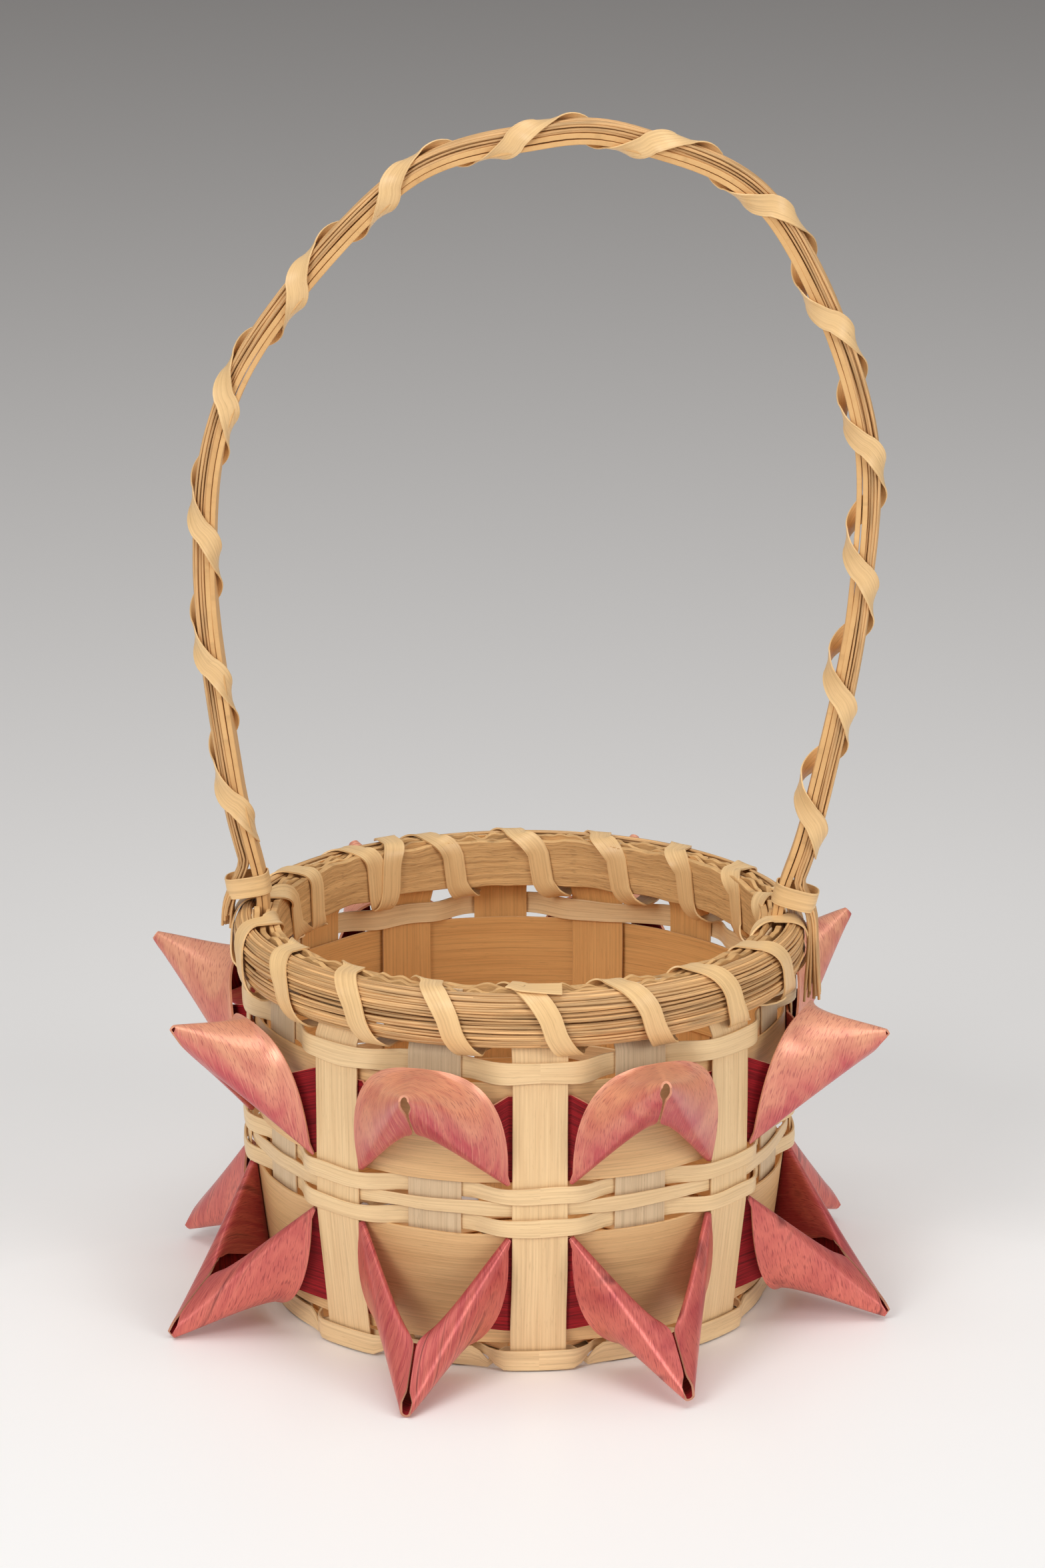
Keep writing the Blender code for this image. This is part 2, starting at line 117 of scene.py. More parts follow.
class BasketSizes(bpy.types.PropertyGroup):
    """Sizes of the splints, strands and curls."""

    upright_width: length_property("Upright width", "Width of an upright on the wall", 10.4)
    lashing_width: length_property("Lashing width", "Width of the splint that lashes the rim", 4.2)
    wrap_width: length_property("Wrap width", "Width of the splint wound round the handle", 4.2)
    strand: length_property("Sweetgrass strand", "Thickness of one strand of sweetgrass", 0.5)
    strip_width: length_property("Handle strip width", "Width of the handle's two ash strips", 4.6)
    curl_half_span: length_property("Curl half span", "Half the distance between a curl's two corners", 14.2)
    roll_at_wall: length_property("Roll at the wall", "Radius of a curl's roll at its corner", 0.45)
    lashing_turns: IntProperty(name="Lashing turns", description="Turns of the rim's lashing",
                               default=18, min=1)
    wrap_turns: IntProperty(name="Wrap turns", description="Turns of the handle's wrap",
                            default=14, min=1)


class BasketColours(bpy.types.PropertyGroup):
    """Colours of the natural and dyed splints, the ash and the sweetgrass."""

    upright: colour_property("Upright", "Pale scraped ash of the outer uprights", "#eecb99")
    inner_upright: colour_property("Inner upright", "Greyer ash of the inner uprights", "#dcc09a")
    inside: colour_property("Inside of uprights", "Warmer ash of the uprights' inner side", "#e6af6c")
    wide: colour_property("Wide weaver", "Golden ash of the wide weavers", "#e9bc84")
    thin: colour_property("Thin weaver", "Pale ash of the thin weavers", "#efcd9b")
    lashing: colour_property("Lashing", "Honey ash of the lashing and the handle's wrap", "#eec68d")
    hoop: colour_property("Riven ash", "Ash of the rim's hoop and the handle's strips", "#e0b276")
    sweetgrass: colour_property("Sweetgrass", "Dried sweetgrass", "#dcae76")
    upper_satin: colour_property("Upper curls", "Satin side of the upper dyed splint", "#eda584")
    # Painted shade: the two fold colours are darker, redder copies of the satin colours, for the shaded folds
    # of the curls
    upper_satin_fold: colour_property("Upper folds", "The same in the folds of the curls", "#c5555a")
    lower_satin: colour_property("Lower curls", "Satin side of the lower dyed splint", "#dd7868")
    lower_satin_fold: colour_property("Lower folds", "The same in the folds of the curls", "#a8323f")
    dyed_rough: colour_property("Dyed rough side", "Rough side of both dyed splints", "#8a141b")
    floor: colour_property("Floor", "Pale paper under the basket", "#fcfbfa")
    # Painted shade: the paper's grey where little light reaches it, blended in by distance from the basket
    far_floor_painted_shade: colour_property("Far floor", "The same where little light reaches it", "#7f7a78")


def size(name):
    """One of the basket's sizes, in millimetres."""
    return getattr(bpy.context.scene.basket_sizes, name) / MM


def colour(name, shade=1.0, warmth=0.0):
    """One of the basket's colours as red, green, blue and 1, darker or warmer if asked."""
    red, green, blue = getattr(bpy.context.scene.basket_colours, name)
    return (min(1, red * shade * (1 + warmth)), green * shade, blue * shade * (1 - warmth), 1)


# Shapes

def around(angle, radius, z):
    """Points at angles in degrees from the front, at a radius and a level."""
    a = np.radians(angle)
    return np.stack(np.broadcast_arrays(radius * np.sin(a), -radius * np.cos(a), z), axis=-1)


def direction(angle):
    """Unit vectors away from the basket's middle line."""
    return around(angle, 1.0, 0.0)


def blend(a, b, t):
    return a + (b - a) * t


def crown(share):
    """Rise of a splint's middle over its edges, from 0 to 1, across its width."""
    return 1 - (2 * share - 1) ** 2


def drift(places, unevenness, seed):
    """Smooth noise at points in millimetres.

    The unevenness is its amount and its spacing, and most of it is within half the amount each way.
    """
    amount, spacing = unevenness
    shift = Vector((seed * 3.7, -seed * 5.1, seed * 9.3))
    return amount * np.array([noise.noise(Vector(p) / spacing + shift) for p in places])


def wall_radius(z):
    """Radius of the middle of the wall: a cone at the foot, a cylinder, and a drawn-in rim."""
    marks = (FOOT_TOP, LOWER_WIDE[1], TOP_ROW[1] + 0.2, RIM_BOTTOM)
    return np.interp(z, marks, (FOOT_RADIUS, WALL_RADIUS, WALL_RADIUS, RIM_RADIUS))


def weave(angle, flat):
    """Over (+1) at outer uprights and under (-1) at inner ones, flat where it meets each."""
    steep = np.clip(flat * np.cos(np.radians(angle * UPRIGHTS / 2)), -1, 1)
    return np.sin(steep * math.pi / 2)


def smooth_line(corners, samples):
    """Points on a smooth curve through the corners."""
    corners = [np.array(c, float) for c in corners]
    ends = [2 * corners[0] - corners[1], *corners, 2 * corners[-1] - corners[-2]]
    line = []
    for a, b, c, d in zip(ends, ends[1:], ends[2:], ends[3:]):
        for t in np.arange(samples) / samples:
            line.append(0.5 * (2 * b + (c - a) * t + (2 * a - 5 * b + 4 * c - d) * t * t
                               + (3 * b - 3 * c + d - a) * t ** 3))
    return np.array([*line, corners[-1]])


def even_line(line, count):
    """The same line as evenly spaced points."""
    steps = np.linalg.norm(np.diff(line, axis=0), axis=1)
    lengths = np.concatenate(([0], np.cumsum(steps)))
    places = np.linspace(0, lengths[-1], count)
    return np.stack([np.interp(places, lengths, line[:, k]) for k in range(line.shape[1])], axis=1)


# Meshes

def new_mesh(name, points, faces, maps):
    """A mesh from points in millimetres, with its UV maps."""
    mesh = bpy.data.meshes.new(name)
    mesh.from_pydata((np.reshape(points, (-1, 3)) * MM).tolist(), [], faces)
    for word, corners in maps.items():
        mesh.uv_layers.new(name=word).data.foreach_set("uv", np.array(corners, np.float32).ravel())
    return mesh


def place(name, data, finishes=()):
    """A new object in the scene, with its finishes."""
    made = bpy.data.objects.new(name, data)
    bpy.context.scene.collection.objects.link(made)
    for material in finishes:
        data.materials.append(material)
    return made


def grid_mesh(name, rows, closed, start, fan=False, fold=None):
    """A surface through rows of points, whose UV map "splint" is in millimetres along and across."""
    rows = np.asarray(rows, float)
    count, lanes = rows.shape[:2]
    ahead = np.roll(rows, -1, axis=0)
    steps = np.linalg.norm(ahead - rows, axis=2)
    if not fan:
        steps = np.repeat(steps.mean(axis=1)[:, None], lanes, axis=1)
    along = start + np.concatenate((np.zeros((1, lanes)), np.cumsum(steps, axis=0)))
    widths = np.linalg.norm(np.diff(rows, axis=1), axis=2).mean(axis=0)
    across = np.concatenate(([0], np.cumsum(widths)))
    shares = np.linspace(0, 1, lanes)
    faces, on_splint, on_fold = [], [], []
    for i in range(count if closed else count - 1):
        following = (i + 1) % count
        for j in range(lanes - 1):
            faces.append((i * lanes + j, following * lanes + j, following * lanes + j + 1, i * lanes + j + 1))
            for row, lane in ((i, j), (i + 1, j), (i + 1, j + 1), (i, j + 1)):
                on_splint.append((along[row, lane], across[lane]))
                if fold is not None:
                    on_fold.append((fold[row % count], shares[lane]))
    return new_mesh(name, rows, faces, {"splint": on_splint} if fold is None
                    else {"splint": on_splint, "fold": on_fold})


def settle(piece):
    """Applies the piece's modifiers to its mesh."""
    graph = bpy.context.evaluated_depsgraph_get()
    mesh = bpy.data.meshes.new_from_object(piece.evaluated_get(graph), preserve_all_data_layers=True,
                                           depsgraph=graph)
    piece.modifiers.clear()
    piece.data = mesh
    return piece


def seat(piece, slot, *nodes):
    """Fixes a piece to the basket, in place of CAD nodes. The slot is not used."""
    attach(piece, "root")
    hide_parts(*nodes)
    return piece


def strip(name, rows, thickness, finishes, closed=False, start=0.0, round_edge=0.12, **layout):
    """A splint through rows of points across its width.

    One finish covers it all. With two, the second is its cut edges; with three, they are its
    outer side, its inner side and its cut edges.
    """
    piece = place(name, grid_mesh(name, rows, closed, start, **layout), finishes)
    solid = piece.modifiers.new("thickness", "SOLIDIFY")
    solid.thickness = thickness * MM
    solid.offset = 0
    solid.material_offset = 1 if len(finishes) == 3 else 0
    solid.material_offset_rim = len(finishes) - 1
    piece.data.shade_smooth()
    if round_edge:
        bevel = piece.modifiers.new("worn edge", "BEVEL")
        bevel.width = round_edge * MM
        bevel.segments = 2
        bevel.limit_method = "ANGLE"
        bevel.angle_limit = math.radians(60)
        bevel.harden_normals = True
        return settle(piece)
    settle(piece)
    piece.data.set_sharp_from_angle(angle=math.radians(50))
    return piece


STRAND_SIDES = 6


def strands(name, lines, finishes, closed=False):
    """Round strands. A line is its middle points, two axes across it and a radius at each point.

    Its UV map "splint" holds millimetres along, and the strand's number plus its share around.
    """
    points, faces, on_splint, rings = [], [], [], 0
    for number, (middle, first, second, radius) in enumerate(lines):
        count = len(middle)
        steps = np.linalg.norm(np.diff(middle, axis=0, append=middle[:1]), axis=1)
        along = 37.0 * number + np.concatenate(([0], np.cumsum(steps)))
        turns = np.arange(STRAND_SIDES) * math.tau / STRAND_SIDES
        ring = (middle[:, None] + radius[:, None, None] * (first[:, None] * np.cos(turns)[None, :, None]
                                                           + second[:, None] * np.sin(turns)[None, :, None]))
        points.append(ring.reshape(-1, 3))
        base = rings * STRAND_SIDES
        for i in range(count if closed else count - 1):
            here, there = base + i * STRAND_SIDES, base + (i + 1) % count * STRAND_SIDES
            for j in range(STRAND_SIDES):
                k = (j + 1) % STRAND_SIDES
                faces.append((here + j, there + j, there + k, here + k))
                shares = (number + 0.1 + 0.8 * j / STRAND_SIDES, number + 0.1 + 0.8 * (j + 1) / STRAND_SIDES)
                on_splint += [(along[i], shares[0]), (along[i + 1], shares[0]),
                              (along[i + 1], shares[1]), (along[i], shares[1])]
        if not closed:
            for end, order in ((0, 1), (count - 1, -1)):
                faces.append(tuple(base + end * STRAND_SIDES + j for j in range(STRAND_SIDES))[::order])
                on_splint += [(along[end], number + 0.5)] * STRAND_SIDES
        rings += count
    mesh = new_mesh(name, np.concatenate(points), faces, {"splint": on_splint})
    mesh.shade_smooth()
    mesh.set_sharp_from_angle(angle=math.radians(70))
    return place(name, mesh, finishes)


# Finishes

# Length and width of each finish's marks, in millimetres
SCRAPED_FIBRE = (26, 0.34)
SCRAPED_FLECK = (3.2, 0.3)
SCRAPED_CLOUD = (40, 2.6)
TORN_FIBRE = (22, 0.8)
PORE = (2.4, 0.34)
DYED_FIBRE = (9, 0.4)
DYED_FLECK = (1.8, 0.32)
DYED_CLOUD = (7, 12)
DYED_RIB = (16, 0.5)
KNIFE_MARK = (1.5, 0.5)
# The same for sweetgrass, whose widths are shares of a strand
GRASS_FADE = (11, 1 / 2.7)
GRASS_VEIN = (14, 1 / 5)
# How far each finish's marks stand up, in millimetres
SCRAPED_RELIEF = 0.04
TORN_RELIEF = 0.12
RIB_RELIEF = 0.1
VEIN_RELIEF = 0.06


def add(tree, kind, settings):
    """Adds a shader node. A setting is a property, an input's value or the output that feeds it."""
    node = tree.nodes.new("ShaderNode" + kind)
    for key, value in settings.items():
        if isinstance(value, bpy.types.NodeSocket):
            tree.links.new(value, node.inputs[key])
        elif isinstance(key, str) and key in node.bl_rna.properties:
            setattr(node, key, value)
        else:
            node.inputs[key].default_value = value
    return node


def marks(tree, mark, at=None, **settings):
    """Noise whose marks have a length and a width and lie along the splint."""
    length, width = mark
    at = at or add(tree, "UVMap", {"uv_map": "splint"}).outputs["UV"]
    scaled = add(tree, "Mapping", {"Scale": (1 / length, 1 / width, 1), "Vector": at})
    return add(tree, "TexNoise", {"Scale": 1, "Vector": scaled.outputs["Vector"], **settings}).outputs["Fac"]


def mixed(tree, share, under, over):
    """One colour over another, by a share of it."""
    return add(tree, "Mix", {"data_type": "RGBA", 0: share, 6: under, 7: over}).outputs[2]


def tinted(tree, under, over, pattern, start, full, most=1.0):
    """One colour over another, from where a pattern has one value to where it has a fuller one."""
    share = add(tree, "MapRange", {"From Min": start, "From Max": full, "To Max": most, "Value": pattern})
    return mixed(tree, share.outputs["Result"], under, over)


def finish(name, **settings):
    """A new material with a Principled shader, and its node tree."""
    made = bpy.data.materials.new(name)
    made.use_nodes = True
    dress(made.node_tree, **settings)
    return made, made.node_tree


def dress(tree, **settings):
    """Sets inputs of a material's shader, or links them to the outputs that feed them."""
    shader = tree.nodes["Principled BSDF"]
    for key, value in settings.items():
        socket = shader.inputs[key.replace("_", " ")]
        if isinstance(value, bpy.types.NodeSocket):
            tree.links.new(value, socket)
        else:
            socket.default_value = value


def relief(tree, strength, distance, *patterns):
    """Patterns that stand up from the surface by a distance in millimetres."""
    height = patterns[0]
    for pattern in patterns[1:]:
        height = add(tree, "Math", {"operation": "ADD", 0: height, 1: pattern}).outputs[0]
    bump = add(tree, "Bump", {"Strength": strength, "Distance": distance * MM, "Height": height})
    return bump.outputs["Normal"]


def scraped_ash(name, tone, grain=0.45, lustre=0.36):
    """Black-ash splint, pounded from the log and scraped: satin, with long fine fibres and short flecks."""
    made, tree = finish(name, IOR=1.5)
    fibre = marks(tree, SCRAPED_FIBRE, Detail=4, Roughness=0.6)
    fleck = marks(tree, SCRAPED_FLECK, Detail=2, Roughness=0.6)
    cloud = marks(tree, SCRAPED_CLOUD, Detail=3, Roughness=0.6)
    base = tinted(tree, colour(tone), colour(tone, 0.88, 0.04), cloud, 0.35, 0.68)
    base = tinted(tree, base, colour(tone, 0.42, 0.12), fibre, 0.5, 0.72, grain)
    base = tinted(tree, base, colour(tone, 1.22, -0.02), fibre, 0.5, 0.28, 0.5)
    base = tinted(tree, base, colour(tone, 0.5, 0.1), fleck, 0.6, 0.74, grain * 0.9)
    gloss = add(tree, "MapRange", {"To Min": lustre - 0.08, "To Max": lustre + 0.16, "Value": fleck})
    dress(tree, Base_Color=base, Roughness=gloss.outputs["Result"],
          Normal=relief(tree, 0.7, SCRAPED_RELIEF, fibre, fleck))
    return made


def riven_ash(name, tone, torn):
    """Ash split along its growth rings and only roughly shaved: matt, with coarse torn fibres."""
    made, tree = finish(name, Roughness=0.6, IOR=1.5)
    coarse = marks(tree, TORN_FIBRE, Detail=5, Roughness=0.7, Distortion=0.4)
    pores = marks(tree, PORE, Detail=2)
    base = tinted(tree, colour(tone, 1.08), colour(tone, 1 - 0.4 * torn, 0.08), coarse, 0.36, 0.66)
    base = tinted(tree, base, colour(tone, 0.34, 0.12), pores, 0.56, 0.72, 0.6 * torn)
    dress(tree, Base_Color=base, Normal=relief(tree, 0.9, TORN_RELIEF * torn, coarse, pores))
    return made


def dyed_satin(name, tone, bruise, folded):
    """The scraped side of an aniline-dyed splint: lustrous, with a painted highlight that pales the crest and
    painted shade that makes the folds darker and redder.
    """
    made, tree = finish(name, Roughness=0.32, IOR=1.5, Metallic=0.28)
    # deep is the fold colour, a darker and redder copy of the satin colour that paints the shade in the folds
    deep = tone + "_fold"
    fibre = marks(tree, DYED_FIBRE, Detail=3, Roughness=0.6)
    fleck = marks(tree, DYED_FLECK, Detail=1)
    cloud = marks(tree, DYED_CLOUD, Detail=2)
    on_fold = add(tree, "UVMap", {"uv_map": "fold"})
    fold = add(tree, "SeparateXYZ", {"Vector": on_fold.outputs["UV"]})
    # Painted light by place in the fold: the satin colour towards the crest where light falls, the painted
    # fold shade nearer the wall; random cloud patches shift it either way
    crest = add(tree, "MapRange", {"From Min": folded, "From Max": 0.85, "Value": fold.outputs["X"]})
    patchy = add(tree, "Math", {"operation": "MULTIPLY_ADD", 0: cloud, 1: 1.7, 2: -0.85})
    paler = add(tree, "Math", {"operation": "ADD", "use_clamp": True, 0: crest.outputs["Result"],
                               1: patchy.outputs[0]})
    base = mixed(tree, paler.outputs[0], colour(deep), colour(tone))
    base = tinted(tree, base, colour(deep, 0.3), cloud, 0.6, 0.7, bruise)
    base = tinted(tree, base, colour(deep, 0.6), fleck, 0.54, 0.68, 0.55)
    base = tinted(tree, base, colour(tone, 1.35, -0.05), fibre, 0.46, 0.3, 0.35)
    dress(tree, Base_Color=base, Normal=relief(tree, 0.6, SCRAPED_RELIEF, fibre, fleck))
    return made


def dyed_rough(name):
    """The unscraped side of a dyed splint: deep crimson, with raised ribs along its length."""
    made, tree = finish(name, Roughness=0.65, IOR=1.3)
    rib = marks(tree, DYED_RIB, Detail=3, Roughness=0.6)
    base = tinted(tree, colour("dyed_rough", 1.5), colour("dyed_rough", 0.45), rib, 0.35, 0.68)
    dress(tree, Base_Color=base, Normal=relief(tree, 1.0, RIB_RELIEF, rib))
    return made


def cut_edge(name, tone, shade):
    """A splint's knife-cut edge: matt and a little paler than its faces."""
    made, tree = finish(name, Roughness=0.7, IOR=1.5)
    broken = marks(tree, KNIFE_MARK, Detail=2)
    dress(tree, Base_Color=mixed(tree, broken, colour(tone, shade), colour(tone, shade * 0.6)))
    return made


def dried_sweetgrass(name):
    """Sweetgrass dried in the shade: each strand its own straw or grey-brown, with a dull shine."""
    made, tree = finish(name, Roughness=0.48, IOR=1.5)
    on_strand = add(tree, "UVMap", {"uv_map": "splint"})
    parts = add(tree, "SeparateXYZ", {"Vector": on_strand.outputs["UV"]})
    strand = add(tree, "Math", {"operation": "FLOOR", 0: parts.outputs["Y"]}).outputs[0]
    each = add(tree, "TexWhiteNoise", {"noise_dimensions": "1D", "W": strand})
    at = add(tree, "CombineXYZ", {"X": parts.outputs["X"], "Y": strand})
    fade = marks(tree, GRASS_FADE, at.outputs["Vector"], Detail=3)
    vein = marks(tree, GRASS_VEIN, Detail=2)
    base = mixed(tree, each.outputs["Value"], colour("sweetgrass", 1.25), colour("sweetgrass", 0.74, 0.05))
    base = tinted(tree, base, colour("sweetgrass", 0.5, -0.05), fade, 0.46, 0.72, 0.6)
    base = tinted(tree, base, colour("sweetgrass", 0.3), vein, 0.55, 0.75, 0.6)
    dress(tree, Base_Color=base, Normal=relief(tree, 0.5, VEIN_RELIEF, vein))
    return made


# Pieces

WEAVER_SAMPLES = 14
WAVER_SPACING = 9
LANES = np.array((0, 0.06, 0.5, 0.94, 1))


def ring_angles(samples=WEAVER_SAMPLES):
    """Angles round the wall, evenly spaced between uprights."""
    return np.arange(UPRIGHTS * samples) * UPRIGHT_STEP / samples


def ring_rows(angle, offset, low, high, seed, lanes=LANES, cup=0.08, waver=0.18):
    """Rows across a splint that runs round the wall, a little uneven and crowned."""
    middle = around(angle, WALL_RADIUS, (low + high) / 2)
    edge_low = low + drift(middle, (waver, WAVER_SPACING), seed)
    edge_high = high + drift(middle, (waver, WAVER_SPACING), seed + 1)
    rows = []
    for share in lanes:
        z = blend(edge_low, edge_high, share)
        rows.append(around(angle, wall_radius(z) + offset + cup * crown(share), z))
    return np.stack(rows, axis=1)


BASE_LEVEL = 0.825
BASE_RADIUS = 43.5
BASE_PITCH = 0.62
BASE_SPLINT = 0.4
WAIST_WIDTH = 3.2
WAIST_RATIO = 0.26
CROSSING_RADIUS = 8.8
RAMP_RADIUS = 15.0
STAKE_EDGE = (0.22, 16)


def stake_profile(layer, offset):
    """Half of a stake from the middle of the base to the rim, as radii and levels."""
    stacked = BASE_LEVEL + layer * BASE_PITCH
    inner = [(radius, stacked) for radius in np.linspace(0.5, CROSSING_RADIUS, 4)]
    ramp = [(blend(CROSSING_RADIUS, RAMP_RADIUS, t), blend(stacked, BASE_LEVEL, t * t * (3 - 2 * t)))
            for t in (0.2, 0.4, 0.6, 0.8, 1.0)]
    floor = [(radius, BASE_LEVEL) for radius in np.linspace(RAMP_RADIUS + 3, BASE_RADIUS, 8)]
    corner = FOOT_RADIUS + offset - BASE_RADIUS
    turn = [(BASE_RADIUS + corner * math.sin(a), BASE_LEVEL + (FOOT_TOP - BASE_LEVEL) * (1 - math.cos(a)))
            for a in np.linspace(0.2, math.pi / 2, 8)]
    wall = [(float(wall_radius(z)) + offset, z) for z in np.linspace(FOOT_TOP + 2, RIM_TOP - 0.4, 34)]
    return inner + ramp + floor + turn + wall


def build_stake(index, finishes):
    """One long splint, up one side of the wall, across the base and up the other side."""
    outer = index % 2 == 0
    profile = stake_profile(index, OUTER_UPRIGHT if outer else INNER_UPRIGHT)
    signed = [(-radius, z) for radius, z in reversed(profile)] + profile
    turn = math.radians(index * UPRIGHT_STEP)
    rotated = np.array(((math.cos(turn), -math.sin(turn), 0), (math.sin(turn), math.cos(turn), 0), (0, 0, 1)))
    middle = np.array([(0, -radius, z) for radius, z in signed])
    uneven = [drift(middle, STAKE_EDGE, 20 + 2 * index + side) for side in (0, 1)]
    rows = []
    for i, (radius, z) in enumerate(signed):
        far = abs(radius)
        width = min(size("upright_width"), max(WAIST_WIDTH, WAIST_RATIO * far))
        worn = min(1.0, far / BASE_RADIUS)
        row = []
        for share in LANES:
            across = (share - 0.5) * width + worn * blend(uneven[0][i], uneven[1][i], share)
            inward = far - math.sqrt(far * far - across * across) if far > width else 0
            row.append((across, -math.copysign(far - inward, radius), z))
        rows.append(np.array(row) @ rotated.T)
    piece = strip(f"upright_splint_{index + 1}", rows, BASE_SPLINT, finishes, start=210.0 * index)
    slot = "outer_upright_splint" if outer else "inner_upright_splint"
    return seat(piece, slot, f"stake_splint_{index + 1}")


class BASKET_OT_uprights(bpy.types.Operator):
    """Build the eight long splints whose ends are the sixteen uprights"""

    bl_idname = "basket.uprights"
    bl_label = "Uprights"

    def execute(self, context):
        pale = scraped_ash("outer_upright_scraped_ash", "upright", grain=0.34, lustre=0.46)
        grey = scraped_ash("inner_upright_scraped_ash", "inner_upright", grain=0.4, lustre=0.5)
        warm = scraped_ash("upright_inside_scraped_ash", "inside", grain=0.4, lustre=0.5)
        for index in range(UPRIGHTS // 2):
            outside = pale if index % 2 == 0 else grey
            build_stake(index, [warm, outside, outside])
        return {"FINISHED"}


BASE_ROUNDS = (19.0, 25.0, 31.0, 37.0)
ROUND_WIDTH = 4.6
ROUND_LIFT = 0.65
ROUND_FLAT = 2.1
ROUND_SPLINT = 0.35


class BASKET_OT_base_rounds(bpy.types.Operator):
    """Build the flat rounds woven over and under the stakes of the base"""

    bl_idname = "basket.base_rounds"
    bl_label = "Base rounds"

    def execute(self, context):
        ash = scraped_ash("base_round_scraped_ash", "wide")
        angle = ring_angles(8)
        for index, radius in enumerate(BASE_ROUNDS):
            side = 1 if index % 2 == 0 else -1
            z = BASE_LEVEL + side * ROUND_LIFT * weave(angle, ROUND_FLAT)
            rows = np.stack([around(angle, radius + (share - 0.5) * ROUND_WIDTH, z)
                             for share in LANES], axis=1)
            piece = strip(f"base_splint_round_{index + 1}", rows, ROUND_SPLINT, [ash], closed=True,
                          start=400.0 * index)
            seat(piece, "base_weaver_splint", f"base_round_{index + 1}")
        return {"FINISHED"}


FOOT_INSET = 1.1
FOOT_FLAT = 1.7
FOOT_CUP = 0.12
FOOT_OUTER_LOW = 0.35
FOOT_INNER_LOW = 2.4
FOOT_HIGH = 4.2
FOOT_CROSSING = {1: (2.6, 4.2), -1: (0.3, 1.7)}


class BASKET_OT_foot_twining(bpy.types.Operator):
    """Build the two strands twined round the foot"""

    bl_idname = "basket.foot_twining"
    bl_label = "Foot twining"

    def execute(self, context):
        ash = scraped_ash("foot_scraped_ash", "thin", lustre=0.4)
        angle = ring_angles(12)
        for side, word in ((1, "outer"), (-1, "inner")):
            over = side * weave(angle, FOOT_FLAT)
            lobe = np.abs(over)
            outside = (0.5 + 1.5 * side) * LAYER
            inside = (-1.5 - 1.5 * side) * LAYER - FOOT_INSET
            offset = blend(-LAYER / 2, np.where(over > 0, outside, inside), lobe)
            crossing_low, crossing_high = FOOT_CROSSING[side]
            low = blend(crossing_low, np.where(over > 0, FOOT_OUTER_LOW, FOOT_INNER_LOW), lobe)
            high = blend(crossing_high, FOOT_HIGH, lobe)
            rows = [around(angle, FOOT_RADIUS + offset + FOOT_CUP * crown(share), blend(low, high, share))
                    for share in LANES]
            piece = strip(f"foot_{word}_strand", np.stack(rows, axis=1), SPLINT, [ash], closed=True,
                          start=900.0 + 400 * side)
            seat(piece, "foot_splint", f"foot_twining_{word}_strand")
        return {"FINISHED"}


class BASKET_OT_wide_weavers(bpy.types.Operator):
    """Build the two wide weavers behind the dyed splints"""

    bl_idname = "basket.wide_weavers"
    bl_label = "Wide weavers"

    def execute(self, context):
        ash = scraped_ash("wide_weaver_scraped_ash", "wide", grain=0.4, lustre=0.42)
        warm = scraped_ash("wide_weaver_inside_scraped_ash", "inside", grain=0.4, lustre=0.46)
        angle = ring_angles(8)
        lanes = np.linspace(0, 1, 9)
        for seed, (word, (low, high)) in enumerate((("lower", LOWER_WIDE), ("upper", UPPER_WIDE))):
            swell = 0.3 * np.clip(-weave(angle, 1.0), 0, 1)
            rows = ring_rows(angle, WIDE_LAYER + swell, low, high, 5 + 2 * seed, lanes, cup=0.1)
            piece = strip(f"{word}_wide_splint", rows, SPLINT, [ash, warm, ash], closed=True,
                          start=500.0 * seed)
            seat(piece, "wide_weaver_splint", f"{word}_wide_weaver")
        return {"FINISHED"}


def thin_weaver(name, node, row_levels, over_outer, finishes, seed):
    """A narrow splint woven over and under the uprights."""
    angle = ring_angles()
    low, high = row_levels
    if over_outer:
        outside, inside = OUTER_UPRIGHT + LAYER, INNER_UPRIGHT - LAYER
    else:
        outside, inside = OUTER_UPRIGHT - LAYER, INNER_UPRIGHT + LAYER
    offset = blend(inside, outside, (1 + weave(angle, 1.35)) / 2)
    rows = ring_rows(angle, offset, low, high, seed, cup=0.12, waver=0.45)
    piece = strip(name, rows, SPLINT, finishes, closed=True, start=350.0 * seed)
    return seat(piece, "thin_weaver_splint", node)


class BASKET_OT_thin_weavers(bpy.types.Operator):
    """Build the three thin weavers of the middle and the one under the rim"""

    bl_idname = "basket.thin_weavers"
    bl_label = "Thin weavers"

    def execute(self, context):
        ash = scraped_ash("thin_weaver_scraped_ash", "thin", grain=0.35, lustre=0.38)
        for index, row in enumerate(MID_ROWS):
            thin_weaver(f"middle_row_{index + 1}", f"mid_weaver_{index + 1}", row, index != 1, [ash],
                        11 + 2 * index)
        thin_weaver("top_row", "top_weaver", TOP_ROW, True, [ash], 18)
        return {"FINISHED"}


FLAP_END = 0.2
ROLL_START = 0.4
ARCH_START = 0.6
FLAP_LIFT = 0.25
CREASE_START = 0.64
SLIT_LENGTH = 4.8
SLIT_HALF_WIDTH = 1.0
NOSE_HALF_WIDTH = 0.8
NOSE_DEPTH = 1.0
ARCH_SQUARENESS = 0.62
ARCH_BULGE = 0.06
ARCH_CLEARANCE = 1.2
# Levels of the edge that rises in an arch and of the edge that ends at the tips
UPPER_DYED = (38.3, 55.0)
LOWER_DYED = (27.1, 8.0)
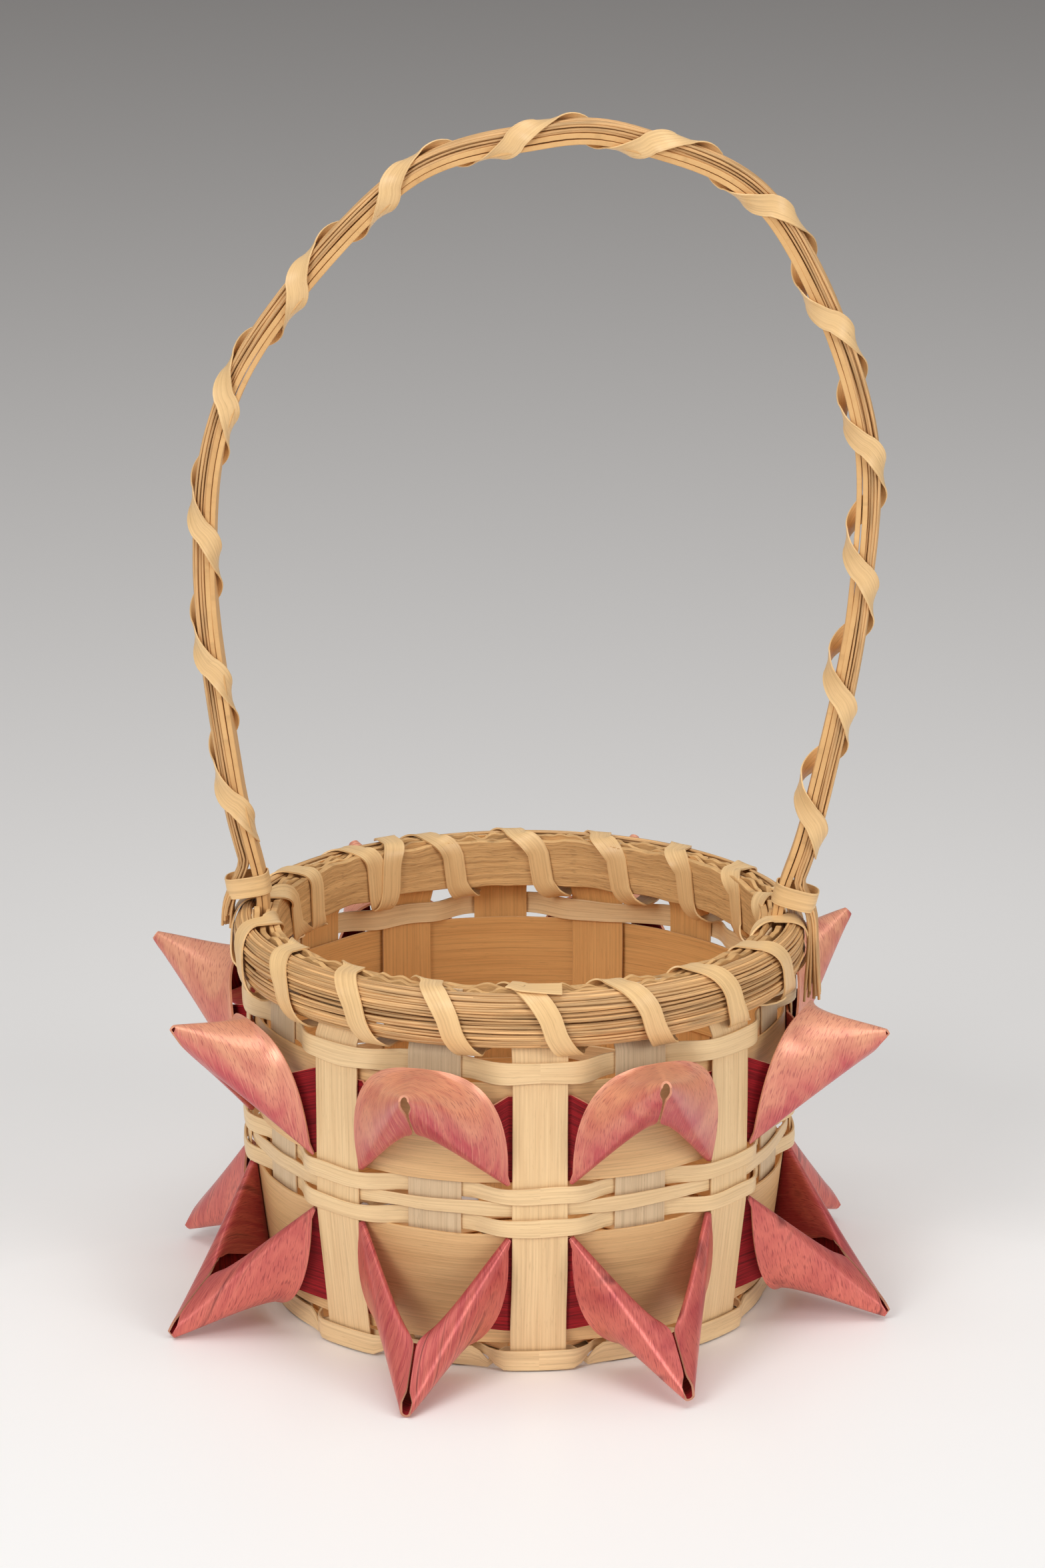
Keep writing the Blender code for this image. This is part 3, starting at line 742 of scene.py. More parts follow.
# Each curl's tip, from the front towards +X: its radius, its level and its turn to one side
UPPER_TIPS = ((73.0, 63.5, -5.4), (72.7, 58.2, 0), (72.0, 64.8, 0), (74.0, 68.5, 0), (74.0, 68.5, 0),
              (74.5, 62.8, 0), (72.0, 62.2, 0), (73.2, 61.6, 1.8))
LOWER_TIPS = ((74.6, 1.7, -2.1), (73.6, 0.9, 0), (70.6, 2.4, 0), (75.0, 0.5, 0), (75.0, 0.5, 0),
              (68.6, 2.0, 0), (73.4, 0.45, 0), (75.3, 0.4, 2.3))
# How far an arch rises from its corners, and how far it stands off the wall
UPPER_ARCH = (22.7, 4.0)
LOWER_ARCH = (-21.5, 4.0)
CURL_LANES = 21
CREASE_GAP = 0.245
# A curl's edge that runs to the tip: share of the way out, less a distance, aside, and into the V
TIP_EDGE = ((0.48, 0, 3.9, -0.5), (CREASE_START, 2.5, 1.3, 0.6), (CREASE_START, 0, CREASE_GAP, 1.1),
            (1, SLIT_LENGTH, CREASE_GAP, 1.5), (1, SLIT_LENGTH / 2, SLIT_HALF_WIDTH, 1.2),
            (1, 0.3, NOSE_HALF_WIDTH, NOSE_DEPTH))
CURL_SOFTENING = 34
ROLL_TURNS = 20
ARCH_TURNS = 18


def arch_point(middle, edge_levels, arch, turn):
    """Point of a curl's free edge, from the wall's corner (0) to the top of the arch (90)."""
    rise, lift = arch
    a = math.radians(turn)
    bulge = 1 + ARCH_BULGE * math.sin(2 * a)
    width = size("curl_half_span") * max(0, math.cos(a)) ** ARCH_SQUARENESS * bulge
    z = edge_levels[0] + rise * math.sin(a)
    radius = float(wall_radius(z)) + ARCH_CLEARANCE + lift * math.sin(a) ** 0.8
    return around(middle - math.degrees(width / WALL_RADIUS), radius, z)


def curl_rulings(edge_levels, tip, arch, middle):
    """Half a curl as straight lines across the dyed splint, each with its place in the fold.

    The splint leaves the wall beside the upright as a flat flap. Its far edge comes to the curl's
    middle, where the two halves press together in a crease, opens into a narrow slit and ends at
    the tip. The near edge turns back at the wall's corner and rises in an arch, so the splint
    rolls over into half of a cone. The tip is its radius, its level and its turn to one side.
    """
    near_z, far_z = edge_levels
    up = math.copysign(1, arch[0])
    wall = direction(middle) * WALL_RADIUS + np.array((0, 0, near_z))
    crest = direction(middle + tip[2]) * tip[0] + np.array((0, 0, tip[1]))
    length = np.linalg.norm(crest - wall)
    along = (crest - wall) / length
    across = np.cross((0, 0, 1), along)
    across /= np.linalg.norm(across)
    inward = np.cross(along, across)
    inward *= -up * math.copysign(1, inward[2])

    def spot(share, before_tip, aside, inside):
        """A point by its share of the length, less a distance, moved to one side and into the V."""
        return wall + along * (share * length - before_tip) - across * aside + inward * inside

    edge_angle = middle - math.degrees(size("curl_half_span") / WALL_RADIUS)
    near_wall, far_wall = float(wall_radius(near_z)), float(wall_radius(far_z))
    rulings = [(FLAP_END * i / 4, around(a, near_wall, near_z), around(a, far_wall, far_z))
               for i, a in enumerate(np.linspace(middle - UPRIGHT_STEP, edge_angle - 0.2, 5))]
    corner = around(edge_angle, near_wall + FLAP_LIFT, near_z)
    far_corner = around(edge_angle, far_wall + FLAP_LIFT, far_z)
    tip_edge = [spot(*mark) for mark in TIP_EDGE]
    rulings += [(blend(FLAP_END, ROLL_START, step), corner, blend(far_corner, tip_edge[0], step))
                for step in (0.08, 0.3, 0.55, 0.8)]

    axis = spot(CREASE_START, 0, 0, 0) - corner
    axis /= np.linalg.norm(axis)
    towards = far_corner - corner
    towards = towards - axis * towards.dot(axis)
    towards /= np.linalg.norm(towards)
    normal = np.cross(axis, towards)
    normal *= math.copysign(1, normal.dot(direction(edge_angle)))
    far_edge = even_line(smooth_line(tip_edge, 5), ROLL_TURNS + 1)
    for share, far in zip(np.linspace(0, 1, ROLL_TURNS + 1), far_edge):
        turn = share * math.pi
        shift = normal * (1 - math.cos(turn)) - towards * math.sin(turn)
        rulings.append((blend(ROLL_START, ARCH_START, share), corner + shift * size("roll_at_wall"), far))
    for step in np.linspace(0, 1, ARCH_TURNS + 1)[1:]:
        turn = 90 * step
        a = math.radians(turn)
        back = 1 - math.sin(a)
        far = spot(1, TIP_EDGE[-1][1] * back, NOSE_HALF_WIDTH * math.cos(a), NOSE_DEPTH * back)
        rulings.append((blend(ARCH_START, 1, step), arch_point(middle, edge_levels, arch, turn), far))
    return rulings


def half_curl(edge_levels, tip, arch, middle):
    """Half a curl as rows of points across the splint, each with its place in the fold.

    Its sharp turns are softened away from the edges. Where the two rolls would pass through each
    other, they are pressed flat together instead.
    """
    rulings = curl_rulings(edge_levels, tip, arch, middle)
    shares = np.linspace(0, 1, CURL_LANES)
    rows = np.array([[blend(near, far, t) for t in shares] for _, near, far in rulings])
    places = np.array([in_fold for in_fold, _, _ in rulings])
    give = np.sin(math.pi * shares) ** 0.6
    for _ in range(CURL_SOFTENING):
        pull = (rows[:-2] + rows[2:]) / 2 - rows[1:-1]
        pull *= (give * np.clip((places[1:-1, None] - FLAP_END) / 0.1, 0, 1))[..., None]
        rows[1:-1] += pull / 2
    reach_out = direction(middle + tip[2]) * tip[0] - direction(middle) * WALL_RADIUS
    across = np.cross((0, 0, 1), reach_out / np.linalg.norm(reach_out))
    past = (rows - direction(middle) * WALL_RADIUS) @ across + CREASE_GAP
    past = np.where(places[:, None] <= ARCH_START, np.maximum(past, 0), 0)
    return places, rows - past[..., None] * across


def curl_splint(name, node, slot, edge_levels, tips, arch, finishes):
    """A dyed splint under the outer uprights, folded out to a point between each two."""
    places, rows = [], []
    for i, (reach_out, level, lean) in enumerate(tips):
        middle = (2 * i + 1) * UPRIGHT_STEP
        tangent = np.cross((0, 0, 1), direction(middle))
        near_places, near_half = half_curl(edge_levels, (reach_out, level, lean), arch, middle)
        far_places, far_half = half_curl(edge_levels, (reach_out, level, -lean), arch, middle)
        far_half = far_half - 2 * (far_half @ tangent)[..., None] * tangent
        places += [*near_places, *far_places[-2:0:-1]]
        rows += [*near_half, *far_half[-2:0:-1]]
    rows = np.array(rows)
    if arch[0] < 0:
        rows = rows[:, ::-1]
    piece = strip(name, rows, SPLINT, finishes, closed=True, round_edge=0, fan=True, fold=places)
    return seat(piece, slot, node)


class BASKET_OT_curls(bpy.types.Operator):
    """Build the two dyed splints, each folded out to eight pointed curls"""

    bl_idname = "basket.curls"
    bl_label = "Curls"

    def execute(self, context):
        rough = dyed_rough("dyed_splint_rough_side")
        upper = [rough, dyed_satin("upper_dyed_splint_satin_side", "upper_satin", 0.0, 0.5),
                 cut_edge("upper_dyed_splint_cut_edge", "upper_satin", 1.15)]
        lower = [rough, dyed_satin("lower_dyed_splint_satin_side", "lower_satin", 0.7, 0.15),
                 cut_edge("lower_dyed_splint_cut_edge", "upper_satin", 0.8)]
        for word, edge_levels, tips, arch, finishes in (("upper", UPPER_DYED, UPPER_TIPS, UPPER_ARCH, upper),
                                                        ("lower", LOWER_DYED, LOWER_TIPS, LOWER_ARCH, lower)):
            curl_splint(f"{word}_curls", f"{word}_curl_splint", f"{word}_dyed_splint", edge_levels, tips,
                        arch, finishes)
        return {"FINISHED"}


HOOP_SAMPLES = 480
HOOP_LOW_EDGE = (0.5, 6)
HOOP_HIGH_EDGE = (0.7, 5)
HOOP_FACE = (0.25, 7)
PACKING_FOOT = 5.0
PACKING_TEETH = (1.1, 2.6)
PACKING_EDGE = (0.8, 11)
PACKING_FACE = (0.5, 4)
# The torn splint packed in the rim: its place, its thickness and its seed
PACKING = {"inner": (-2.15, 0.8, 34), "outer": (-0.3, 1.1, 37)}


class BASKET_OT_rim_hoop(bpy.types.Operator):
    """Build the riven ash hoop inside the rim"""

    bl_idname = "basket.rim_hoop"
    bl_label = "Rim hoop"

    def execute(self, context):
        ash = riven_ash("rim_hoop_riven_ash", "hoop", 0.9)
        angle = np.arange(HOOP_SAMPLES) * 360 / HOOP_SAMPLES
        low, high = HOOP_LEVELS
        middle = around(angle, HOOP_OUTSIDE, low)
        ragged_low = low + drift(middle, HOOP_LOW_EDGE, 31)
        ragged_high = high - 0.2 + drift(middle, HOOP_HIGH_EDGE, 32)
        radius = HOOP_OUTSIDE - HOOP_THICKNESS / 2
        rows = []
        for share in np.linspace(0, 1, 7):
            z = blend(ragged_low, ragged_high, share)
            rows.append(around(angle, radius + drift(around(angle, radius, z), HOOP_FACE, 33), z))
        piece = strip("rim_inner_hoop", np.stack(rows, axis=1), HOOP_THICKNESS, [ash], closed=True,
                      round_edge=0.25)
        seat(piece, "hoop_ash", "inner_rim_hoop")
        for word, (depth, thickness, seed) in PACKING.items():
            middle = around(angle, RIM_RADIUS + depth, 0.0)
            torn = RIM_TOP - 0.1 + drift(middle, PACKING_TEETH, seed) + drift(middle, PACKING_EDGE, seed + 1)
            rows = [around(angle, RIM_RADIUS + depth + drift(middle, PACKING_FACE, seed + 2) * share,
                           blend(RIM_TOP - PACKING_FOOT, torn, share)) for share in np.linspace(0, 1, 5)]
            piece = strip(f"rim_torn_packing_{word}", np.stack(rows, axis=1), thickness, [ash], closed=True,
                          start=800.0 + seed, round_edge=0.2)
            seat(piece, "hoop_ash")
        return {"FINISHED"}


BUNDLE_MIDDLE_DEPTH = 0.9
BUNDLE_SECTION = 2.6
BUNDLE_SAMPLES = 192
BUNDLE_LAYERS = (32, 23)
BUNDLE_SPAN = 88
STRAND_TURN = (6, 40)
STRAND_SWELL = (0.4, 15)
STRAND_LIFT = (0.35, 30)
STRAND_FULLNESS = 1.05


def superellipse(turn, power):
    """Cosine and sine of an angle, squared up by the power of a superellipse."""
    c, s = np.cos(turn), np.sin(turn)
    return np.sign(c) * np.abs(c) ** (2 / power), np.sign(s) * np.abs(s) ** (2 / power)


class BASKET_OT_rim_sweetgrass(bpy.types.Operator):
    """Build the sweetgrass bundle round the outside of the rim"""

    bl_idname = "basket.rim_sweetgrass"
    bl_label = "Rim sweetgrass"

    def execute(self, context):
        grass = dried_sweetgrass("rim_dried_sweetgrass")
        angle = np.arange(BUNDLE_SAMPLES) * 360 / BUNDLE_SAMPLES
        out = direction(angle)
        up = np.tile((0.0, 0.0, 1.0), (BUNDLE_SAMPLES, 1))
        outside = reach("rim_sweetgrass_bundle")[1].x - RIM_RADIUS
        half = (RIM_TOP - RIM_BOTTOM) / 2
        centre = around(angle, RIM_RADIUS, 0.0)
        lines = []
        for layer, count in enumerate(BUNDLE_LAYERS):
            for index in range(count):
                seed = 40 + index + 25 * layer
                turn = blend(BUNDLE_SPAN, -BUNDLE_SPAN, (index + 0.5) / count)
                turn = np.radians(turn + drift(centre, STRAND_TURN, seed))
                radius = size("strand") / 2 * (STRAND_FULLNESS + drift(centre, STRAND_SWELL, seed + 60))
                c, s = superellipse(turn, BUNDLE_SECTION)
                inset = size("strand") * (0.5 + 0.9 * layer) - drift(centre, STRAND_LIFT, seed + 90)
                depth = BUNDLE_MIDDLE_DEPTH + (outside - BUNDLE_MIDDLE_DEPTH - inset) * c
                z = (RIM_BOTTOM + RIM_TOP) / 2 + (half - inset) * s
                lines.append((around(angle, RIM_RADIUS + depth, z), out, up, radius))
        piece = strands("rim_bundle", lines, [grass], closed=True)
        seat(piece, "rim_sweetgrass", "rim_sweetgrass_bundle")
        return {"FINISHED"}


HANDLE_TURN = -8.5
LASHING_INNER = -4.5
LASHING_OUTER = 4.85
LASHING_SPLINT = 0.35
LASHING_PASS = 2.7
LASHING_SAMPLES = 44
LASHING_LEAN = 9.0
LASHING_SHIFT = 5.5
LASHING_SHARES = (0.0, 0.42, 0.58, 1.0)
LASHING_INSIDE_SECTION = 5.0
LASHING_OUTSIDE_SECTION = 2.7
# The two ends of the lashing: from and to which angle of the rim, and round its section
LASHING_ENDS = {"front": ((-6.5, 4.5), (93, 80)), "back": ((206.0, 211.5), (60, 250))}
LASHING_END_LIFT = 0.36


def lashing_pass(angle):
    """The free place between two uprights nearest to an angle."""
    gap = (math.floor(angle / UPRIGHT_STEP) + 0.5) * UPRIGHT_STEP
    places = [max(middle - LASHING_PASS, min(middle + LASHING_PASS, angle))
              for middle in (gap - UPRIGHT_STEP, gap, gap + UPRIGHT_STEP)]
    return min(places, key=lambda spot: abs(spot - angle))


def wound_rows(path, facing, half_width):
    """Rows across a splint wound along a path, which lies flat on what it winds round."""
    across = np.cross(np.gradient(path, axis=0), facing)
    across /= np.linalg.norm(across, axis=1)[:, None]
    return np.stack([path + across * half_width * (2 * share - 1) for share in LANES], axis=1)


def lashing_rows(angles, turns, lift=0.0):
    """Rows across a lashing that winds round the rim's section, at each of its turns."""
    low, high = LASHING_LEVELS[0] + LASHING_SPLINT / 2, LASHING_LEVELS[1] - LASHING_SPLINT / 2
    middle = (LASHING_INNER + LASHING_OUTER) / 2
    path, facing = [], []
    for angle, turn in zip(angles, turns):
        c, s = superellipse(turn, LASHING_OUTSIDE_SECTION if math.cos(turn) > 0 else LASHING_INSIDE_SECTION)
        depth = middle + ((LASHING_OUTER - LASHING_INNER) / 2 + lift) * c
        path.append(around(angle, RIM_RADIUS + depth, blend(low - lift, high + lift, (1 + s) / 2)))
        facing.append(math.cos(turn) * direction(angle) + math.sin(turn) * np.array((0, 0, 1.0)))
    return wound_rows(np.array(path), np.array(facing), size("lashing_width") / 2)


class BASKET_OT_rim_lashing(bpy.types.Operator):
    """Build the narrow splint wound round the rim"""

    bl_idname = "basket.rim_lashing"
    bl_label = "Rim lashing"

    def execute(self, context):
        ash = scraped_ash("lashing_scraped_ash", "lashing", grain=0.4, lustre=0.36)
        count = bpy.context.scene.basket_sizes.lashing_turns
        step = 360 / count
        first = 90 + HANDLE_TURN + step / 2 + LASHING_SHIFT
        angles, turns = [], []
        for index in range(count):
            top = first + index * step
            bottom = top + LASHING_LEAN
            gap = lashing_pass(bottom)
            for share in np.arange(LASHING_SAMPLES) / LASHING_SAMPLES:
                turns.append(math.pi / 2 - math.tau * share)
                angles.append(np.interp(share, LASHING_SHARES, (top, bottom, gap, top + step)))
        piece = strip("rim_wound_lashing", lashing_rows(angles, turns), LASHING_SPLINT, [ash], round_edge=0.1)
        seat(piece, "lashing_splint", "rim_lashing")
        for word, ((near, far), (start, end)) in LASHING_ENDS.items():
            share = np.linspace(0, 1, 24)
            rows = lashing_rows(blend(near, far, share), np.radians(blend(start, end, share)),
                                LASHING_END_LIFT)
            piece = strip(f"rim_lashing_{word}_end", rows, LASHING_SPLINT, [ash], start=60.0 * far,
                          round_edge=0.1)
            seat(piece, "lashing_splint")
        return {"FINISHED"}


HANDLE_PATH = ((-50.3, 66.0), (-50.3, 73.0), (-50.9, 80.0), (-55.2, 100.0), (-59.6, 143.0),
               (-52.8, 178.4), (-23.0, 214.8), (4.0, 224.4), (23.0, 223.6), (47.0, 211.2), (63.9, 173.0),
               (64.0, 137.0), (56.1, 95.2), (51.6, 80.0), (50.3, 73.0), (50.3, 66.0))
STRIP_THICKNESS = 1.0
INNER_STRIP = -1.75
OUTER_STRIP = -0.65
STRIP_EDGE = (0.3, 14)
STRIP_BOW = (0.25, 22)
GRASS_OFFSET = 0.95
GRASS_LAYERS = 4
GRASS_ACROSS = 8
GRASS_HALF_WIDTH = 2.05
GRASS_WANDER = (0.5, 34)
GRASS_LIFT = (0.3, 25)
GRASS_SWELL = (0.4, 12)
TAIL_SPREAD = 0.9
TAIL_FAN = 0.4
TAIL_START = 84.0
TAIL = ((3.1, 81.5), (4.4, 78.4), (5.6, 75.0), (5.9, 70.0))
TAIL_ENDS = {-1: (70.5, 73.5), 1: (58.5, 61.0)}
WRAP_SPLINT = 0.3
WRAP_EDGE = 0.09
WRAP_SECTION = 2.8
WRAP_SAMPLES = 36
WRAP_HALF = (2.5, 2.6)
WRAP_SLIP = 0.45
WRAP_SLACK = 1.6
WRAP_START = 87.6
BINDING_LEVELS = (76.6, 80.6)
BINDING_HALF = (4.1, 3.0)
BINDING_SHIFT = 1.35
BINDING_SECTION = 3.2


def handle_place(flat, across):
    """Points of the handle's plane (outwards from the middle, up), moved across it."""
    a = math.radians(HANDLE_TURN)
    flat = np.asarray(flat, float)
    x = flat[..., 0] * math.cos(a) - across * math.sin(a)
    y = flat[..., 0] * math.sin(a) + across * math.cos(a)
    return np.stack(np.broadcast_arrays(x, y, flat[..., 1]), axis=-1)


def outward(line):
    """Unit vectors across a line in the handle's plane, pointing away from the basket."""
    steps = np.gradient(line, axis=0)
    steps /= np.linalg.norm(steps, axis=1)[:, None]
    return np.stack((-steps[:, 1], steps[:, 0]), axis=1)


def handle_line(count, start=0.0):
    """Evenly spaced points of the handle's middle line above a level."""
    line = smooth_line(HANDLE_PATH, 14)
    return even_line(line[line[:, 1] > start], count)


class BASKET_OT_handle_strips(bpy.types.Operator):
    """Build the handle's two ash strips"""

    bl_idname = "basket.handle_strips"
    bl_label = "Handle strips"

    def execute(self, context):
        ash = riven_ash("handle_riven_ash", "hoop", 0.45)
        line = handle_line(170)
        normal = outward(line)
        for word, offset, seed in (("inner", INNER_STRIP, 70), ("outer", OUTER_STRIP, 74)):
            middle = handle_place(line, 0.0)
            rows = []
            for share in LANES:
                across = (share - 0.5) * size("strip_width") + drift(middle, STRIP_EDGE, seed + round(share))
                bow = offset + drift(middle, STRIP_BOW, seed + 2)
                rows.append(handle_place(line + normal * bow[:, None], across))
            piece = strip(f"handle_{word}_ash", np.stack(rows, axis=1), STRIP_THICKNESS, [ash],
                          start=600.0 * seed, round_edge=0.2)
            seat(piece, "handle_ash", f"handle_{word}_strip")
        return {"FINISHED"}


class BASKET_OT_handle_sweetgrass(bpy.types.Operator):
    """Build the sweetgrass along the handle, with its tails outside the rim"""

    bl_idname = "basket.handle_sweetgrass"
    bl_label = "Handle sweetgrass"

    def execute(self, context):
        grass = dried_sweetgrass("handle_dried_sweetgrass")
        line = handle_line(120, TAIL_START)
        normal = outward(line)
        lines = []
        for index in range(GRASS_LAYERS * GRASS_ACROSS):
            layer, spot = divmod(index, GRASS_ACROSS)
            outward_share = layer - (GRASS_LAYERS - 1) / 2
            across_share = (2 * spot + 1) / GRASS_ACROSS - 1
            above = GRASS_OFFSET + outward_share * size("strand") * 1.1
            spread = outward_share * size("strand") * 0.95
            tails = {}
            for side, ends in TAIL_ENDS.items():
                end = blend(*ends, (index * 5 % 7) / 6)
                fan = TAIL_FAN * outward_share * (TAIL[-1][1] - end) / 10
                corners = [(out, z) for out, z in TAIL if z > end + 1] + [(TAIL[-1][0] + fan, end)]
                tails[side] = [(side * (RIM_RADIUS + out + spread), z) for out, z in corners]
            middle = [tails[-1][::-1], line + normal * above, tails[1]]
            flat = even_line(smooth_line(np.concatenate(middle), 3), 230)
            out = outward(flat)
            rough = handle_place(flat, 0.0)
            low = np.clip((80 - flat[:, 1]) / 14, 0, 1)
            across = across_share * (GRASS_HALF_WIDTH + TAIL_SPREAD * low)
            across = across + drift(rough, GRASS_WANDER, 80 + index)
            wander = drift(rough, GRASS_LIFT, 100 + index)
            centre = handle_place(flat + out * wander[:, None], across)
            first = handle_place(out, 0.0)
            second = handle_place(np.zeros_like(out), 1.0)
            radius = size("strand") / 2 * (STRAND_FULLNESS + drift(rough, GRASS_SWELL, 120 + index))
            lines.append((centre, first, second, radius))
        piece = strands("handle_grass", lines, [grass])
        seat(piece, "handle_grass", "handle_sweetgrass")
        return {"FINISHED"}


class BASKET_OT_handle_wrap(bpy.types.Operator):
    """Build the narrow splint wound round the handle in an open spiral"""

    bl_idname = "basket.handle_wrap"
    bl_label = "Handle wrap"

    def execute(self, context):
        ash = scraped_ash("wrap_scraped_ash", "lashing", grain=0.4, lustre=0.36)
        turns = bpy.context.scene.basket_sizes.wrap_turns
        line = handle_line(turns * WRAP_SAMPLES + 1, WRAP_START)
        normal = outward(line)
        share = np.linspace(0, 1, len(line))
        turn = math.tau * (turns * share + WRAP_SLIP * (1 - share) ** 3)
        c, s = superellipse(turn, WRAP_SECTION)
        slack = WRAP_SLACK * np.clip(-c, 0, 1) ** 2 * np.clip(2 * share - 0.9, 0, 1)
        path = handle_place(line + normal * (c * WRAP_HALF[0] - slack)[:, None], s * WRAP_HALF[1])
        facing = (handle_place(normal, 0.0) * np.cos(turn)[:, None]
                  + handle_place(np.zeros_like(normal), 1.0) * np.sin(turn)[:, None])
        rows = wound_rows(path, facing, size("wrap_width") / 2)
        piece = strip("handle_spiral_wrap", rows, WRAP_SPLINT, [ash], start=3000.0, round_edge=WRAP_EDGE)
        seat(piece, "wrap_splint", "handle_wrap")
        return {"FINISHED"}


class BASKET_OT_handle_bindings(bpy.types.Operator):
    """Build the band at each end of the handle"""

    bl_idname = "basket.handle_bindings"
    bl_label = "Handle bindings"

    def execute(self, context):
        ash = scraped_ash("binding_scraped_ash", "lashing", grain=0.4, lustre=0.36)
        line = handle_line(600, BINDING_LEVELS[0] + 2)
        normal = outward(line)
        height = BINDING_LEVELS[1] - BINDING_LEVELS[0]
        turn = np.linspace(0, math.tau, 48, endpoint=False)
        c, s = superellipse(turn, BINDING_SECTION)
        for word, end in (("left", 0), ("right", -1)):
            out, along = normal[end], np.array((normal[end][1], -normal[end][0]))
            rows = []
            for share in LANES:
                middle = line[end] + along * (share - 0.5) * height
                flat = middle + np.outer(c * BINDING_HALF[0] + BINDING_SHIFT, out)
                rows.append(handle_place(flat, s * BINDING_HALF[1]))
            piece = strip(f"handle_{word}_band", np.stack(rows, axis=1), WRAP_SPLINT, [ash], closed=True,
                          start=77.0 * (end + 5), round_edge=WRAP_EDGE)
            seat(piece, "wrap_splint", f"handle_binding_{word}")
        return {"FINISHED"}


# Stage

# The stage's places and sizes are in metres
FLOOR_RADIUS = 6.0
FLOOR_MIDDLE = (0, -0.15, 0)
# Painted light falloff on the floor: the distance from its middle at which the white starts to fall to the
# painted grey, the distance at which it is all grey, and the curve of the fall
PAINTED_FALLOFF_START = 0.19
PAINTED_FALLOFF_END = 2.6
PAINTED_FALLOFF_CURVE = 0.6
SOFT_BOXES = {"above": ((0.0, -0.15, 1.4), 1.1, 8.2), "left": ((-0.95, -1.15, 0.85), 0.7, 10.6),
              "right": ((1.05, -1.1, 0.7), 0.7, 7)}
LIT_LEVEL = 0.06
ROOM_COLOUR = "#f4f2f0"
ROOM_LIGHT = 0.4
CAMERA_TURN = -4.24
CAMERA_ELEVATION = 16.28
CAMERA_DISTANCE = 1.1406
CAMERA_TARGET = 0.09983
CAMERA_SIDE = 0.00061
CAMERA_LENS = 137.8


def paper_floor(name):
    """A sheet of matt white paper with painted light falloff: bright by the basket, falling to a painted grey
    shade far from it.
    """
    made, tree = finish(name, Roughness=0.45, IOR=1.45)
    on_floor = add(tree, "TexCoord", {})
    far = add(tree, "VectorMath", {"operation": "DISTANCE", 0: on_floor.outputs["Object"], 1: FLOOR_MIDDLE})
    painted_falloff = add(tree, "MapRange", {"From Min": PAINTED_FALLOFF_START, "From Max": PAINTED_FALLOFF_END,
                                  "Value": far.outputs["Value"]})
    share = add(tree, "Math", {"operation": "POWER", 0: painted_falloff.outputs["Result"], 1: PAINTED_FALLOFF_CURVE})
    # The floor's colour is painted light: white near the basket, blended into the painted grey shade with
    # distance
    dress(tree, Base_Color=mixed(tree, share.outputs[0], colour("floor"), colour("far_floor_painted_shade")))
    return made


def soft_light(name, spot, width, power):
    """A square soft box that faces the basket."""
    data = bpy.data.lights.new(name, "AREA")
    data.size = width
    data.energy = power
    lamp = place(name, data)
    lamp.location = spot
    lamp.rotation_euler = (Vector((0, 0, LIT_LEVEL)) - Vector(spot)).to_track_quat("-Z", "Y").to_euler()


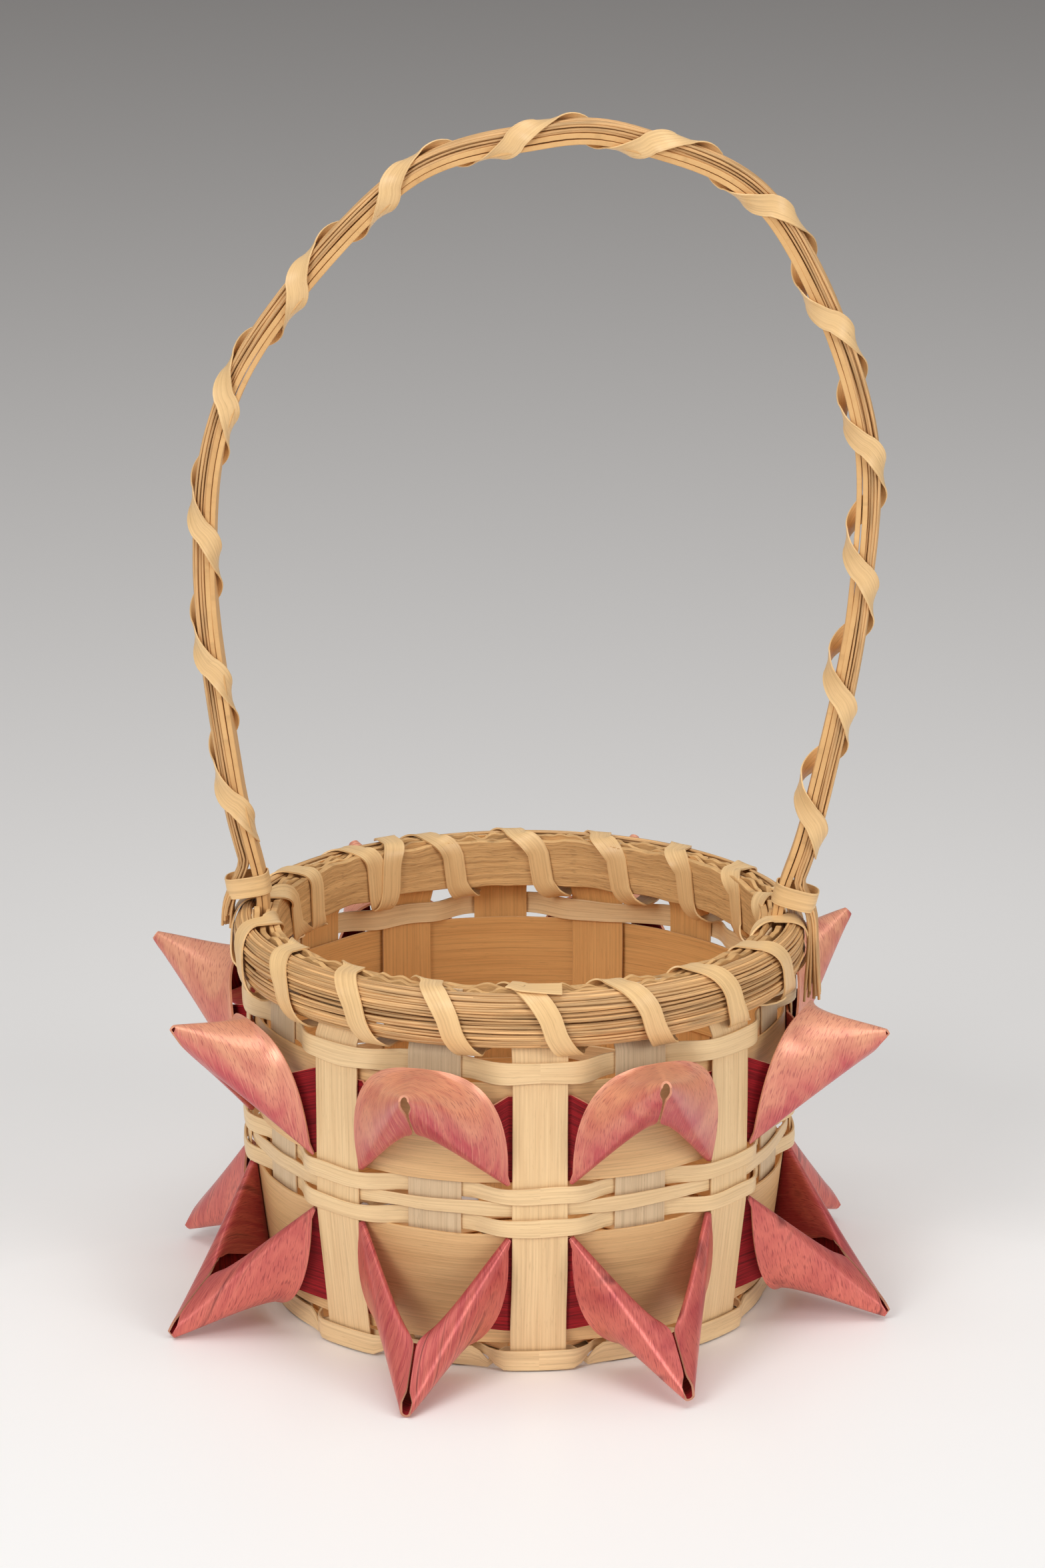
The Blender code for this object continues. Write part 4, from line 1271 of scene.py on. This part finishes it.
class BASKET_OT_stage(bpy.types.Operator):
    """Build the floor, the lights and the camera"""

    bl_idname = "basket.stage"
    bl_label = "Stage"

    def execute(self, context):
        scene = bpy.context.scene
        bpy.ops.mesh.primitive_circle_add(vertices=96, radius=FLOOR_RADIUS, fill_type="NGON")
        floor = bpy.context.object
        floor.name = "paper_floor"
        floor.data.materials.append(paper_floor("floor_white_paper"))
        for word, (spot, width, power) in SOFT_BOXES.items():
            soft_light(f"soft_box_{word}", spot, width, power)
        world = bpy.data.worlds.new("studio")
        world.use_nodes = True
        room = world.node_tree.nodes["Background"]
        room.inputs["Color"].default_value = (*hex_colour(ROOM_COLOUR), 1)
        room.inputs["Strength"].default_value = ROOM_LIGHT
        scene.world = world
        data = bpy.data.cameras.new("camera")
        data.lens = CAMERA_LENS
        data.sensor_width = 36
        data.clip_start = 0.05
        data.clip_end = 30
        camera = place("camera", data)
        elevation = math.radians(CAMERA_ELEVATION)
        towards = Vector(direction(CAMERA_TURN))
        side = Vector((-towards.y, towards.x, 0))
        target = Vector((0, 0, CAMERA_TARGET)) + side * CAMERA_SIDE
        back = towards * math.cos(elevation) + Vector((0, 0, math.sin(elevation)))
        camera.location = target + back * CAMERA_DISTANCE
        camera.rotation_euler = (-back).to_track_quat("-Z", "Y").to_euler()
        scene.camera = camera
        scene.view_settings.view_transform = "Standard"
        scene.view_settings.look = "None"
        return {"FINISHED"}


OPERATORS = (
    BASKET_OT_uprights,
    BASKET_OT_base_rounds,
    BASKET_OT_foot_twining,
    BASKET_OT_wide_weavers,
    BASKET_OT_thin_weavers,
    BASKET_OT_curls,
    BASKET_OT_rim_hoop,
    BASKET_OT_rim_sweetgrass,
    BASKET_OT_rim_lashing,
    BASKET_OT_handle_strips,
    BASKET_OT_handle_sweetgrass,
    BASKET_OT_handle_wrap,
    BASKET_OT_handle_bindings,
    BASKET_OT_stage,
)


class BASKET_PT_panel(bpy.types.Panel):
    """Lists the basket's sizes, colours and pieces"""

    bl_label = "Splint Basket"
    bl_idname = "BASKET_PT_panel"
    bl_space_type = "VIEW_3D"
    bl_region_type = "UI"
    bl_category = "Basket"

    def draw(self, context):
        for group in (context.scene.basket_sizes, context.scene.basket_colours):
            for name in group.__annotations__:
                self.layout.prop(group, name)
        for operator in OPERATORS:
            self.layout.operator(operator.bl_idname)


CLASSES = (BasketSizes, BasketColours, *OPERATORS, BASKET_PT_panel)


def register():
    for cls in CLASSES:
        bpy.utils.register_class(cls)
    bpy.types.Scene.basket_sizes = PointerProperty(type=BasketSizes)
    bpy.types.Scene.basket_colours = PointerProperty(type=BasketColours)


def unregister():
    del bpy.types.Scene.basket_colours
    del bpy.types.Scene.basket_sizes
    for cls in reversed(CLASSES):
        bpy.utils.unregister_class(cls)


def main():
    """Builds every piece."""
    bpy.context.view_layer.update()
    register()
    for operator in OPERATORS:
        group, name = operator.bl_idname.split(".")
        getattr(getattr(bpy.ops, group), name)()


if __name__ == "__main__":
    main()
